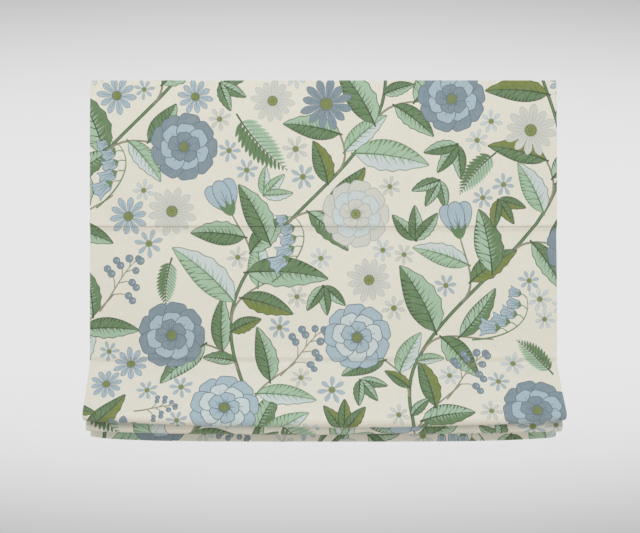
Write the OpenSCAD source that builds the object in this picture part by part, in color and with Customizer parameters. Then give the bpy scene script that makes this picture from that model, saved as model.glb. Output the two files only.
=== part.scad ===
// Roman blind, part raised: a printed face cloth and its lining hang from an aluminium headrail,
// with stiffening rods, a hem bar and lift cords that wind on drums inside the rail.
// Frame: X to the right, Y towards the wall, Z up. The wall is the plane Y = 0, and the origin
// is the middle of the centre bracket's screw holes. The printed side faces -Y.

/* [Cloth] */
// Finished width of the blind
cloth_w = 1200; // [800:10:1600]
// Drop from the top edge to the first rod line
top_drop = 378; // [300:1:450]
// Cloth length from one rod line to the next
panel_drop = 344; // [300:1:380]
// Drop from the last rod line to the bottom of the hem
hem_drop = 162; // [150:1:200]
// Thickness of the printed face cloth
face_t = 0.8; // [0.5:0.05:1]
// Thickness of the lining
lining_t = 0.5; // [0.3:0.05:0.7]
// Air between the face cloth and the lining
layer_gap = 0.1; // [0.05:0.01:0.2]
// Width of each turned side hem
side_hem = 30; // [20:1:50]
// Height of the turned-up bottom hem
hem_turn = 55; // [45:1:70]
// Height of the turned-over top edge
top_turn = 26; // [24:1:34]

/* [Gathered folds] */
// Height from one gathered rod to the next
rod_pitch = 18; // [17:0.5:22]
// How far the first roll's middle stands in front of the flat panels
fold_reach = 75; // [70:1:85]
// How far each roll stands behind the roll in front of it
fold_step = 33; // [31:0.5:38]
// Radius of the first roll
roll_1_r = 18; // [14:0.5:19]
// Radius of the second roll
roll_2_r = 16; // [12:0.5:17]
// Cloth that the second roll takes up by its softness
roll_2_slack = 14; // [6:1:24]
// Radius of the bend where the cloth leaves the second rod line
rod_bend_r = 12; // [8:0.5:16]
// Free radius inside the turn over each gathered rod
turn_in_r = 0.9; // [0.8:0.05:1.2]

/* [Rods and hem bar] */
// Diameter of a stiffening rod
rod_d = 4; // [3:0.5:5]
// Distance from the end of a rod to the side of the cloth
rod_inset = 12; // [11:1:14]
// Wall of the woven pocket round a rod
pocket_wall = 0.6; // [0.4:0.1:1]
// Play of a rod in its pocket
pocket_play = 0.4; // [0.2:0.05:0.6]
// Distance from the end of a pocket to the side of the cloth
pocket_inset = 34; // [30:1:60]
// Length of the cap on a rod's end
rod_cap_len = 10; // [8:0.5:14]
// Wall of the cap on a rod's end
rod_cap_wall = 0.8; // [0.5:0.1:1]
// Thickness of the hem bar
bar_t = 3.5; // [3:0.25:5]
// Height of the hem bar
bar_h = 25; // [20:1:32]
// Distance from the hem bar's end cap to the side of the cloth
bar_inset = 12; // [6:1:30]
// Thickness of the hem bar's end caps
bar_cap_t = 3; // [2:0.5:5]

/* [Headrail] */
// Depth of the headrail, from back to front
rail_d = 32; // [32:0.5:38]
// Height of the headrail
rail_h = 38; // [38:0.5:44]
// Wall of the headrail
rail_wall = 1.5; // [1.2:0.1:1.6]
// Inward reach of the headrail's lips
rail_lip = 4; // [3:0.25:4.5]
// Depth of the bracket channel in the top of the headrail
channel_h = 7; // [6.5:0.25:7]
// Distance from the end of the headrail to the side of the cloth
end_inset = 8; // [4:1:20]
// Thickness of the left end cap
end_cap_t = 3; // [2:0.5:5]
// Height of the hook and loop tapes
tape_h = 20; // [16:1:22]
// Thickness of each of the two tapes
tape_t = 1.2; // [0.8:0.1:1.6]
// How far the cloth stands above the brackets
cloth_rise = 1; // [0:0.5:4]
// How far the tapes stay below the cloth's turned-over edge
tape_margin = 1; // [0.5:0.25:3]
// Length of the idle bearing in the left end cap
idle_len = 9; // [7:0.5:14]

/* [Brackets] */
// Width of a bracket
bracket_w = 36; // [30:1:50]
// Thickness of the bracket's steel
bracket_t = 1.5; // [1.2:0.1:2]
// Inner radius of the bracket's bends
bracket_bend_r = 1.5; // [1:0.25:2]
// Length of the bracket's wall leg
bracket_leg = 32; // [26:1:36]
// Gap between the wall and the back of the headrail
wall_gap = 4; // [3:0.25:8]
// Diameter of a screw hole
screw_d = 5; // [4:0.25:6]
// Distance between the two screw holes of a bracket
screw_pitch = 18; // [14:1:22]
// Distance from an outer bracket's middle to the side of the cloth
bracket_inset = 180; // [140:5:260]
// Thickness of the bracket's spring clip
clip_t = 0.8; // [0.6:0.05:1]
// Width of the bracket's spring clip
clip_w = 16; // [12:1:20]
// Diameter of the rivet that holds the clip
rivet_d = 4; // [3:0.25:5]
// Diameter of the rivet's head
rivet_head_d = 6; // [5.5:0.25:8]

/* [Lift] */
// Number of lift cords
cord_count = 4; // [3:1:5]
// Distance from an outer lift cord to the side of the cloth
cord_inset = 100; // [80:5:120]
// Diameter of a lift cord
cord_d = 1.2; // [1:0.1:1.6]
// Diameter of the wire of a cord ring
ring_wire_d = 2; // [1.6:0.1:2.4]
// Diameter of the drum that a cord winds on
drum_d = 18; // [16:0.25:19]
// Length of the drum between its flanges
drum_len = 30; // [28:1:36]
// Diameter of the drum's flanges
flange_d = 23; // [22.5:0.1:23.4]
// Thickness of the drum's flanges
flange_t = 1.5; // [1:0.1:2]
// Diameter of the drum's hubs
hub_d = 10; // [9:0.25:12]
// Side of the square drive shaft
shaft_side = 5; // [4:0.25:5.5]
// Air round the drum's flanges inside the cradle and the headrail
flange_gap = 1; // [0.6:0.1:1]
// Diameter of the eye that a cord runs through in the cradle's base
eye_d = 2.4; // [2:0.2:4]
// Thickness of the cradle's base
cradle_base_t = 2; // [1.5:0.1:2.2]
// Thickness of the cradle's two bearing plates
cradle_plate_t = 2.5; // [2:0.25:4]
// Length of the stop on the end of a lift cord
stop_len = 9; // [7:0.5:12]
// Diameter of the stop on the end of a lift cord
stop_d = 7; // [6.5:0.25:9]

/* [Chain winder] */
// Width of the winder's case
winder_w = 16; // [15:0.5:20]
// Thickness of the winder's cover
cover_t = 2; // [1.5:0.25:3]
// Thickness of the winder's inner wall
case_wall = 3; // [2:0.25:4]
// Length of the winder's plug inside the headrail
plug_len = 20; // [18:1:30]
// Outer diameter of the chain wheel
wheel_d = 25; // [24:0.25:25.5]
// Width of the chain wheel
wheel_w = 9; // [8:0.25:10]
// Number of bead pockets round the chain wheel
bead_count = 14; // [12:1:14]
// Diameter of a bead pocket
bead_d = 4.8; // [4.4:0.1:5]
// Diameter of the journals of the output hub
journal_d = 13; // [12:0.25:14]
// Diameter of the brake spring's wire
spring_wire_d = 1.2; // [1:0.1:1.4]
// Number of turns of the brake spring
spring_turns = 6; // [4:1:7]
// Side of the hub's square that drives the chain wheel
hub_square = 8; // [7:0.25:8.5]
// Diameter of the cover's pin in the end of the hub
cover_pin_d = 4; // [3:0.25:4.5]
// How deep the cover's pin sits in the hub
cover_pin_depth = 3; // [2:0.25:5]
// Radius of the winder's lower corners
case_corner_r = 5; // [2:0.5:6]
// Distance from the shaft to the middle of each chain outlet
outlet_reach = 9.4; // [9:0.1:10]

/* [Hidden] */
// Clearances and overruns
overrun = 1;
seat_gap = 0.1;
fit_gap = 0.2;
run_gap = 0.1;
cord_play = 0.1;
shaft_play = 0.1;
bar_play = 0.3;
node_gap = 0.2;
side_gap = 0.5;
wheel_gap = 0.5;
hem_gap = 1;
shaft_end_gap = 1;
bush_proud = 1;
sleeve_gap = 0.03;

// Shares: how sharp a corner of a moved line may be, and how deep the bead pockets are cut
mitre_share = 0.5;
bead_depth_share = 0.1;

// How finely the curves are drawn
arc_steps = 14;
spring_steps = 20;
spring_sides = 8;
round_fn = 64;

// Places of the headrail and what stands behind it
bracket_top_z = bracket_leg / 2;
rail_top_z = bracket_top_z - bracket_t;
rail_bottom_z = rail_top_z - rail_h;
rail_back_y = -wall_gap;
rail_front_y = rail_back_y - rail_d;
cavity_back_y = rail_back_y - rail_wall;
cavity_front_y = rail_front_y + rail_wall;
cavity_floor_z = rail_bottom_z + rail_wall;
web_z = rail_top_z - channel_h;
cavity_roof_z = web_z - rail_wall;
half_w = cloth_w / 2;
rail_left_x = -half_w + end_inset + end_cap_t;
rail_right_x = half_w - end_inset - winder_w - cover_t;

// Places of the cloth's layers: depths are counted forward from where face cloth and lining meet
cloth_top_z = bracket_top_z + cloth_rise;
top_bend_r = (lining_t + layer_gap) / 2;
face_in = layer_gap / 2;
face_out = face_in + face_t;
lining_in = layer_gap / 2;
lining_out = lining_in + lining_t;
back_out = max(face_out, lining_out);
panel_y = rail_front_y - 2 * tape_t - face_out - 2 * top_bend_r;
lining_w = cloth_w - 2 * side_hem - 2 * side_gap;

// Rod lines, from the top: two hang flat, and two are gathered under the second
rod_1_z = cloth_top_z - top_drop;
rod_2_z = rod_1_z - panel_drop;
rod_3_z = rod_2_z - rod_pitch;
rod_4_z = rod_3_z - rod_pitch;
hem_z = rod_4_z - hem_drop;
rod_zs = [rod_1_z, rod_2_z, rod_3_z, rod_4_z];
pocket_in_r = rod_d / 2 + pocket_play;
pocket_r = pocket_in_r + pocket_wall;
rod_depth = -(back_out + seat_gap + pocket_r);
rod_y = panel_y - rod_depth;

// The rolls of the gathered cloth. A roll hangs from its rod by half of what the panel has left.
turn_r = turn_in_r + face_t + layer_gap / 2;
function roll_drop(r, reach, slack) =
    let (straight = (panel_drop - slack - PI * r + rod_pitch) / 2)
    sqrt(straight * straight + r * r - reach * reach);
roll_1_reach = fold_reach;
roll_2_reach = fold_reach - fold_step;
roll_1_z = rod_2_z - roll_drop(roll_1_r, roll_1_reach, 0);
roll_2_z = rod_3_z - roll_drop(roll_2_r, roll_2_reach, roll_2_slack);
hem_bend_r = bar_t / 2 + bar_play - layer_gap / 2;
hem_bend_z = hem_z + face_out + hem_bend_r;

// Lift gear
shaft_y = rail_back_y - rail_wall - flange_d / 2 - flange_gap;
shaft_z = cavity_floor_z + cradle_base_t + flange_d / 2 + flange_gap;
wind_r = drum_d / 2 + cord_play + cord_d / 2;
cord_y = shaft_y - wind_r;
cord_xs = [for (i = [0 : cord_count - 1])
    -half_w + cord_inset + i * (cloth_w - 2 * cord_inset) / (cord_count - 1)];
ring_r = cord_y - (rod_y + pocket_r) - seat_gap;
gathered = 2 * (panel_drop - rod_pitch);
wound_len = gathered / (2 * PI * wind_r) * cord_d;
drum_left = -wound_len - cord_d / 2 - run_gap;
stop_top_z = rod_4_z - ring_wire_d / 2 - seat_gap;
cord_end_z = stop_top_z - stop_len / 2;
bracket_xs = [-half_w + bracket_inset, 0, half_w - bracket_inset];

// Chain winder, along X from the end of the headrail
wheel_cavity_r = wheel_d / 2 + wheel_gap;
spring_bore_r = journal_d / 2 + spring_wire_d + 2 * fit_gap;
spring_coil_r = spring_bore_r - spring_wire_d / 2 - run_gap;
flange_x = rail_right_x + case_wall + run_gap;
wheel_x = flange_x + flange_t + run_gap;
bead_ring_r = wheel_d / 2 + bead_d * bead_depth_share;

// Points of an arc. A positive turn runs anticlockwise.
function arc(c, r, from, turn, steps = arc_steps) =
    [for (i = [0 : steps]) let (a = from + turn * i / steps) c + r * [cos(a), sin(a)]];

// An angle brought into one whole turn
function whole_turn(a) = a - 360 * floor(a / 360);
function ccw(c, r, from, to) = arc(c, r, from, whole_turn(to - from));
function cw(c, r, from, to) = arc(c, r, from, -whole_turn(from - to));

// Heading of the straight cloth from a turn (anticlockwise) to a roll (clockwise), and back up
function heading(a, b) = atan2(b[1] - a[1], b[0] - a[0]);
function head_down(a, ra, b, rb) = heading(a, b) + asin((ra + rb) / norm(b - a));
function head_up(b, rb, a, ra) = heading(b, a) - asin((ra + rb) / norm(a - b));

// Unit normals to the left of a line of points, and the line moved that way
function unit(v) = v / norm(v);
function left_of(v) = [-v[1], v[0]];
function side_at(p, i) =
    let (n = len(p) - 1,
         a = left_of(unit(p[min(i + 1, n)] - p[min(i, n - 1)])),
         b = left_of(unit(p[max(i, 1)] - p[max(i - 1, 0)])),
         m = unit(a + b))
    m / max(m * a, mitre_share);
function moved(p, d) = [for (i = [0 : len(p) - 1]) p[i] + d * side_at(p, i)];
function backwards(p) = [for (i = [len(p) - 1 : -1 : 0]) p[i]];
function ribbon(p, near, far) = concat(moved(p, far), backwards(moved(p, near)));

// Depth and height to the Y and Z of the frame
function placed(p) = [for (q = p) [panel_y - q[0], q[1]]];

// A flat outline in Y and Z, drawn out along X from x0 to x1
module along_x(x0, x1) {
    translate([x0, 0, 0]) rotate([90, 0, 90]) linear_extrude(x1 - x0) children();
}

// A round solid along X, with its axis through Y and Z
module round_x(x0, x1, r, y, z) {
    translate([x0, y, z]) rotate([0, 90, 0]) cylinder(h = x1 - x0, r = r, $fn = round_fn);
}

// A box from its two opposite corners
module block(a, b) {
    translate(a) cube(b - a);
}

// The cloth's line in each stretch, as depth and height, from the top downwards
hem_top_z = cloth_top_z - top_turn - hem_gap;
top_bend_path = concat([[-2 * top_bend_r, cloth_top_z - top_turn]],
    arc([-top_bend_r, cloth_top_z - face_out - top_bend_r], top_bend_r, 180, -180),
    [[0, hem_top_z]]);
top_hem_path = [[0, hem_top_z], [0, rod_1_z + node_gap / 2]];
top_path = concat(top_bend_path, [[0, rod_1_z + node_gap / 2]]);
upper_path = [[0, cloth_top_z - face_out - top_bend_r], [0, rod_1_z + node_gap / 2]];
middle_path = [[0, rod_1_z - node_gap / 2], [0, rod_2_z + node_gap / 2]];
fold_path = let (
        bend = [rod_bend_r, rod_2_z - node_gap / 2],
        roll_1 = [roll_1_reach, roll_1_z],
        turn_3 = [turn_r, rod_3_z],
        roll_2 = [roll_2_reach, roll_2_z],
        turn_4 = [turn_r, rod_4_z],
        down_1 = head_down(bend, rod_bend_r, roll_1, roll_1_r),
        up_1 = head_up(roll_1, roll_1_r, turn_3, turn_r),
        down_2 = head_down(turn_3, turn_r, roll_2, roll_2_r),
        up_2 = head_up(roll_2, roll_2_r, turn_4, turn_r))
    concat(ccw(bend, rod_bend_r, 180, down_1 - 90),
        cw(roll_1, roll_1_r, down_1 + 90, up_1 + 90),
        ccw(turn_3, turn_r, up_1 - 90, down_2 - 90),
        cw(roll_2, roll_2_r, down_2 + 90, up_2 + 90),
        ccw(turn_4, turn_r, up_2 - 90, 180));
hem_line_z = hem_z + hem_turn + hem_gap;
lining_path = concat(fold_path, [[0, hem_line_z]]);
hem_bend_path = concat([[0, hem_line_z]],
    arc([-hem_bend_r, hem_bend_z], hem_bend_r, 0, -180),
    [[-2 * hem_bend_r, hem_z + hem_turn]]);
hem_path = concat(fold_path, hem_bend_path);

// Face cloth: one thickness across the middle, and with the turned hem behind it down each side
module face_stretch(outline, side_outline) {
    edge = half_w - side_hem;
    color("antiquewhite") {
        along_x(-edge, edge) polygon(placed(outline));
        for (x = [-half_w, edge]) along_x(x, x + side_hem) polygon(placed(side_outline));
    }
}

module lining_stretch(path) {
    color("ivory")
        along_x(-lining_w / 2, lining_w / 2) polygon(placed(ribbon(path, -lining_out, -lining_in)));
}

module face_cloth_upper() {
    face_stretch(ribbon(top_path, face_in, face_out),
        concat(moved(top_path, face_out), backwards(moved(top_hem_path, -back_out)),
            backwards(moved(top_bend_path, face_in))));
}
module face_cloth_middle() {
    face_stretch(ribbon(middle_path, face_in, face_out), ribbon(middle_path, -back_out, face_out));
}
module face_cloth_folds() {
    face_stretch(ribbon(hem_path, face_in, face_out),
        concat(moved(hem_path, face_out), backwards(moved(hem_bend_path, face_in)),
            backwards(moved(lining_path, -back_out))));
}
module lining_upper() { lining_stretch(upper_path); }
module lining_middle() { lining_stretch(middle_path); }
module lining_folds() { lining_stretch(lining_path); }

// Rods, each in a woven pocket on the back of the lining, with a cap on each end
module rod(z) {
    color("whitesmoke") round_x(-half_w + rod_inset, half_w - rod_inset, rod_d / 2, rod_y, z);
}

module rod_pocket(z) {
    color("linen") difference() {
        round_x(-half_w + pocket_inset, half_w - pocket_inset, pocket_r, rod_y, z);
        round_x(-half_w + pocket_inset - overrun, half_w - pocket_inset + overrun, pocket_in_r, rod_y, z);
    }
}

module rod_caps(z) {
    color("white") for (side = [0, 1]) mirror([side, 0, 0]) difference() {
        round_x(half_w - rod_inset - rod_cap_len, half_w - rod_inset + rod_cap_wall + seat_gap,
            rod_d / 2 + run_gap + rod_cap_wall, rod_y, z);
        round_x(half_w - rod_inset - rod_cap_len - overrun, half_w - rod_inset + seat_gap,
            rod_d / 2 + run_gap, rod_y, z);
    }
}

// Rings that the lift cords run through, one on each pocket at each cord
module cord_rings(z) {
    color("gainsboro") for (x = cord_xs) translate([x, cord_y, z])
        rotate_extrude($fn = round_fn) translate([ring_r - ring_wire_d / 2, 0])
            circle(d = ring_wire_d, $fn = round_fn / 2);
}

// The bar lies in the turned-up hem, and has round edges
module bar_outline() {
    bar_y = panel_y + hem_bend_r;
    low = hem_bend_z;
    high = low + bar_h - bar_t;
    translate([bar_y - bar_t / 2, low]) square([bar_t, high - low]);
    for (z = [low, high]) translate([bar_y, z]) circle(d = bar_t, $fn = round_fn);
}

module hem_bar() {
    reach = half_w - bar_inset - bar_cap_t;
    color("silver") along_x(-reach, reach) bar_outline();
}

module hem_bar_caps() {
    reach = half_w - bar_inset;
    color("white") for (x = [-reach, reach - bar_cap_t])
        along_x(x, x + bar_cap_t) bar_outline();
}

// Headrail: a bracket channel with lips above the web, and an open cavity with lips below it
module headrail() {
    color("white") along_x(rail_left_x, rail_right_x) difference() {
        translate([rail_front_y, rail_bottom_z]) square([rail_d, rail_h]);
        translate([cavity_front_y, web_z]) square([rail_d - 2 * rail_wall, channel_h - rail_wall]);
        translate([cavity_front_y + rail_lip, web_z])
            square([rail_d - 2 * rail_wall - 2 * rail_lip, channel_h + overrun]);
        translate([cavity_front_y, cavity_floor_z])
            square([rail_d - 2 * rail_wall, cavity_roof_z - cavity_floor_z]);
        translate([cavity_front_y + rail_lip, rail_bottom_z - overrun])
            square([rail_d - 2 * rail_wall - 2 * rail_lip, rail_wall + 2 * overrun]);
    }
}

// Hook tape on the rail and loop tape on the cloth, pressed together
module tape(front_y) {
    mid_z = cloth_top_z - top_turn + tape_h / 2 + tape_margin;
    block([rail_left_x, front_y, mid_z - tape_h / 2],
        [rail_right_x, front_y + tape_t - seat_gap / 2, mid_z + tape_h / 2]);
}
module hook_tape() { color("gainsboro") tape(rail_front_y - tape_t); }
module loop_tape() { color("white") tape(rail_front_y - 2 * tape_t); }

// End cap: a plate with a hollow plug, and a bearing on a rib for the idle end of the shaft
plug_y0 = cavity_front_y + fit_gap;
plug_y1 = cavity_back_y - fit_gap;
plug_z0 = cavity_floor_z + fit_gap;
plug_z1 = cavity_roof_z - fit_gap;
idle_r = hub_d / 2;
module end_cap() {
    boss_x = rail_left_x + idle_len;
    color("white") difference() {
        union() {
            block([rail_left_x - end_cap_t, rail_front_y, rail_bottom_z],
                [rail_left_x, rail_back_y, rail_top_z]);
            difference() {
                block([rail_left_x - seat_gap, plug_y0, plug_z0], [boss_x, plug_y1, plug_z1]);
                block([rail_left_x, plug_y0 + rail_wall, plug_z0 + rail_wall],
                    [boss_x + overrun, plug_y1 - rail_wall, plug_z1 - rail_wall]);
            }
            round_x(rail_left_x - seat_gap, boss_x, idle_r + run_gap + rail_wall, shaft_y, shaft_z);
            block([rail_left_x - seat_gap, plug_y0, shaft_z - rail_wall / 2],
                [boss_x, plug_y1, shaft_z + rail_wall / 2]);
        }
        round_x(rail_left_x, boss_x + overrun, idle_r + run_gap, shaft_y, shaft_z);
    }
}

// A square hole for the shaft, through a turned piece
module shaft_hole(x0, x1) {
    half = shaft_side / 2 + shaft_play;
    block([x0, shaft_y - half, shaft_z - half], [x1, shaft_y + half, shaft_z + half]);
}

shaft_left_x = rail_left_x + shaft_end_gap;
shaft_right_x = rail_right_x - shaft_end_gap;
module drive_shaft() {
    half = shaft_side / 2;
    color("silver") block([shaft_left_x, shaft_y - half, shaft_z - half],
        [shaft_right_x, shaft_y + half, shaft_z + half]);
}

module idle_bush() {
    color("white") difference() {
        round_x(rail_left_x + fit_gap, rail_left_x + idle_len + bush_proud, idle_r, shaft_y, shaft_z);
        shaft_hole(rail_left_x - overrun, rail_left_x + idle_len + bush_proud + overrun);
    }
}

// Drum: barrel, flanges and hubs in one turned profile, with a square hole for the shaft
drum_x0 = drum_left - flange_t;
drum_x1 = drum_left + drum_len + flange_t;
hub_len = cradle_plate_t + 2 * run_gap;
module cord_drum(x) {
    color("gainsboro") difference() {
        union() {
            round_x(x + drum_x0 - hub_len, x + drum_x1 + hub_len, hub_d / 2, shaft_y, shaft_z);
            round_x(x + drum_left, x + drum_left + drum_len, drum_d / 2, shaft_y, shaft_z);
            for (f = [drum_x0, drum_x1 - flange_t])
                round_x(x + f, x + f + flange_t, flange_d / 2, shaft_y, shaft_z);
        }
        shaft_hole(x + drum_x0 - hub_len - overrun, x + drum_x1 + hub_len + overrun);
    }
}

// The turns of cord on each drum, beside the place where the cord leaves it
module wound_cord() {
    color("white") for (x = cord_xs) difference() {
        round_x(x + drum_left + run_gap / 2, x - cord_d / 2 - run_gap / 2,
            drum_d / 2 + cord_d, shaft_y, shaft_z);
        round_x(x + drum_left - overrun, x + overrun, drum_d / 2 + sleeve_gap, shaft_y, shaft_z);
    }
}

// Cradle: a base on the rail's lips and two open bearings that the drum drops into
module cord_cradle(x) {
    x0 = x + drum_x0 - run_gap - cradle_plate_t;
    x1 = x + drum_x1 + run_gap + cradle_plate_t;
    low = cavity_floor_z + fit_gap / 2;
    top = cavity_roof_z - fit_gap;
    color("white") difference() {
        union() {
            block([x0, plug_y0, low], [x1, plug_y1, low + cradle_base_t]);
            for (p = [x0, x1 - cradle_plate_t])
                block([p, plug_y0, low], [p + cradle_plate_t, plug_y1, top]);
        }
        round_x(x0 - overrun, x1 + overrun, hub_d / 2 + run_gap, shaft_y, shaft_z);
        block([x0 - overrun, shaft_y - hub_d / 2 + fit_gap, shaft_z],
            [x1 + overrun, shaft_y + hub_d / 2 - fit_gap, top + overrun]);
        translate([x, cord_y, low - overrun])
            cylinder(h = cradle_base_t + 2 * overrun, d = eye_d, $fn = round_fn);
    }
}

// Lift cord, straight down from the drum through the rings to its stop
module lift_cord(x) {
    color("white") translate([x, cord_y, cord_end_z])
        cylinder(h = shaft_z - cord_end_z, d = cord_d, $fn = round_fn / 2);
}

// Stops that carry the lowest rings
module cord_stops() {
    color("white") for (x = cord_xs) translate([x, cord_y, stop_top_z - stop_len]) difference() {
        cylinder(h = stop_len, d1 = stop_d - 2 * cord_d, d2 = stop_d, $fn = round_fn);
        translate([0, 0, -overrun])
            cylinder(h = stop_len + 2 * overrun, d = cord_d + 2 * run_gap, $fn = round_fn / 2);
    }
}

// Bracket: bent steel with a wall leg, a top leg over the rail and a hook under the front lip
lip_front_y = cavity_front_y + rail_lip;
lip_back_y = cavity_back_y - rail_lip;
lip_under_z = rail_top_z - rail_wall;
module bracket(x) {
    mid = bracket_t / 2;
    bend = bracket_bend_r + mid;
    top = bracket_top_z - mid;
    down_y = lip_front_y + fit_gap + mid;
    hook_z = lip_under_z - fit_gap - mid;
    path = concat([[-mid, -bracket_leg / 2]], arc([-mid - bend, top - bend], bend, 0, 90),
        [[down_y, top], [down_y, hook_z], [cavity_front_y + fit_gap, hook_z]]);
    color("lightgray") difference() {
        along_x(x - bracket_w / 2, x + bracket_w / 2) polygon(ribbon(path, -mid, mid));
        for (s = [-1, 1]) translate([x + s * screw_pitch / 2, overrun, 0]) rotate([90, 0, 0])
            cylinder(h = bracket_t + 2 * overrun, d = screw_d, $fn = round_fn);
        translate([x, (lip_front_y + lip_back_y) / 2, rail_top_z - overrun])
            cylinder(h = bracket_t + 2 * overrun, d = rivet_d, $fn = round_fn);
    }
}

// Spring clips under the top legs, with a barb under the rail's back lip
module bracket_clips() {
    mid = clip_t / 2;
    mid_y = (lip_front_y + lip_back_y) / 2;
    top = rail_top_z - mid - seat_gap;
    path = [[mid_y - clip_w / 2, top], [lip_back_y - clip_t, top],
        [lip_back_y - clip_t, web_z + clip_t], [lip_back_y + rail_lip / 2, lip_under_z - clip_t]];
    color("silver") for (x = bracket_xs) difference() {
        along_x(x - clip_w / 2, x + clip_w / 2) polygon(ribbon(path, -mid, mid));
        translate([x, mid_y, web_z]) cylinder(h = channel_h + overrun, d = rivet_d, $fn = round_fn);
    }
}

module bracket_rivets() {
    mid_y = (lip_front_y + lip_back_y) / 2;
    low = rail_top_z - seat_gap - clip_t;
    color("silver") for (x = bracket_xs) translate([x, mid_y, 0]) {
        translate([0, 0, low - clip_t]) cylinder(h = clip_t - seat_gap / 2, d = rivet_head_d, $fn = round_fn);
        translate([0, 0, low - clip_t])
            cylinder(h = bracket_top_z - low + clip_t, d = rivet_d - 2 * run_gap, $fn = round_fn);
    }
}

// Outline of the winder: the rail's, with round lower corners
module winder_outline() {
    r = case_corner_r;
    translate([rail_front_y, rail_bottom_z + r]) square([rail_d, rail_h - r]);
    translate([rail_front_y + r, rail_bottom_z]) square([rail_d - 2 * r, 2 * r]);
    for (y = [rail_front_y + r, rail_back_y - r])
        translate([y, rail_bottom_z + r]) circle(r, $fn = round_fn);
}

// Winder case: a plug in the rail that holds the brake spring, and a cup for the chain wheel
module winder_case() {
    cup_x1 = rail_right_x + winder_w;
    plug_x0 = rail_right_x - plug_len;
    slot_w = bead_d + 2 * fit_gap;
    color("white") difference() {
        union() {
            along_x(rail_right_x, cup_x1) winder_outline();
            block([plug_x0, plug_y0, plug_z0], [rail_right_x + seat_gap, plug_y1, plug_z1]);
        }
        round_x(rail_right_x + case_wall, cup_x1 + overrun, wheel_cavity_r, shaft_y, shaft_z);
        round_x(plug_x0 - overrun, cup_x1, journal_d / 2 + run_gap, shaft_y, shaft_z);
        round_x(plug_x0 + case_wall, rail_right_x, spring_bore_r, shaft_y, shaft_z);
        for (s = [-1, 1])
            translate([wheel_x, shaft_y + s * outlet_reach - slot_w / 2, rail_bottom_z - overrun])
                cube([wheel_w, slot_w, shaft_z - rail_bottom_z]);
    }
}

module winder_cover() {
    x0 = rail_right_x + winder_w;
    color("white") {
        along_x(x0, x0 + cover_t) winder_outline();
        round_x(wheel_x + wheel_w - cover_pin_depth, x0 + cover_t / 2, cover_pin_d / 2, shaft_y, shaft_z);
    }
}

// Output hub: takes the shaft in a square hole and carries the chain wheel on a square
module output_hub() {
    plug_x0 = rail_right_x - plug_len;
    square_x1 = wheel_x + wheel_w;
    half = hub_square / 2;
    color("gainsboro") difference() {
        union() {
            round_x(plug_x0, flange_x + overrun, journal_d / 2, shaft_y, shaft_z);
            round_x(flange_x, flange_x + flange_t, journal_d / 2 + spring_wire_d, shaft_y, shaft_z);
            block([flange_x, shaft_y - half, shaft_z - half], [square_x1, shaft_y + half, shaft_z + half]);
        }
        shaft_hole(plug_x0 - overrun, shaft_right_x + seat_gap);
        round_x(square_x1 - cover_pin_depth - fit_gap, square_x1 + overrun,
            cover_pin_d / 2 + run_gap, shaft_y, shaft_z);
    }
}

// Chain wheel, with a ring of bead pockets
module chain_wheel() {
    half = hub_square / 2 + run_gap;
    mid_x = wheel_x + wheel_w / 2;
    color("gainsboro") difference() {
        round_x(wheel_x, wheel_x + wheel_w, wheel_d / 2, shaft_y, shaft_z);
        block([wheel_x - overrun, shaft_y - half, shaft_z - half],
            [wheel_x + wheel_w + overrun, shaft_y + half, shaft_z + half]);
        for (i = [0 : bead_count - 1]) let (a = 360 * i / bead_count)
            translate([mid_x, shaft_y + bead_ring_r * cos(a), shaft_z + bead_ring_r * sin(a)])
                sphere(d = bead_d, $fn = round_fn / 2);
    }
}

// Brake spring: a close coil round the hub, swept as a ring of points moved along the helix
module brake_spring() {
    x0 = rail_right_x - plug_len + case_wall + spring_wire_d;
    pitch = spring_wire_d + fit_gap;
    n = spring_turns * spring_steps;
    points = [for (i = [0 : n], k = [0 : spring_sides - 1])
        let (a = 360 * i / spring_steps, b = 360 * k / spring_sides,
             r = spring_coil_r + spring_wire_d / 2 * cos(b))
        [x0 + pitch * i / spring_steps + spring_wire_d / 2 * sin(b),
            shaft_y + r * cos(a), shaft_z + r * sin(a)]];
    sides = [for (i = [0 : n - 1], k = [0 : spring_sides - 1])
        let (m = (k + 1) % spring_sides, p = i * spring_sides, q = p + spring_sides)
        [p + k, p + m, q + m, q + k]];
    first = [for (k = [spring_sides - 1 : -1 : 0]) k];
    last = [for (k = [0 : spring_sides - 1]) n * spring_sides + k];
    color("silver") polyhedron(points, concat([first], sides, [last]));
}

headrail();
end_cap();
bracket(bracket_xs[0]);  // bracket_left
bracket(bracket_xs[1]);  // bracket_centre
bracket(bracket_xs[2]);  // bracket_right
bracket_clips();
bracket_rivets();
hook_tape();
loop_tape();
winder_case();
winder_cover();
brake_spring();
cord_cradle(cord_xs[0]);  // cord_cradle_1
cord_cradle(cord_xs[1]);  // cord_cradle_2
cord_cradle(cord_xs[2]);  // cord_cradle_3
cord_cradle(cord_xs[3]);  // cord_cradle_4
lift_cord(cord_xs[0]);  // lift_cord_1
lift_cord(cord_xs[1]);  // lift_cord_2
lift_cord(cord_xs[2]);  // lift_cord_3
lift_cord(cord_xs[3]);  // lift_cord_4
face_cloth_upper();
lining_upper();
drive_shaft();
idle_bush();
output_hub();
chain_wheel();
cord_drum(cord_xs[0]);  // cord_drum_1
cord_drum(cord_xs[1]);  // cord_drum_2
cord_drum(cord_xs[2]);  // cord_drum_3
cord_drum(cord_xs[3]);  // cord_drum_4
wound_cord();
rod(rod_zs[0]);  // rod_1
rod_pocket(rod_zs[0]);  // rod_pocket_1
rod_caps(rod_zs[0]);  // rod_caps_1
cord_rings(rod_zs[0]);  // cord_rings_1
face_cloth_middle();
lining_middle();
rod(rod_zs[1]);  // rod_2
rod_pocket(rod_zs[1]);  // rod_pocket_2
rod_caps(rod_zs[1]);  // rod_caps_2
cord_rings(rod_zs[1]);  // cord_rings_2
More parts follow.
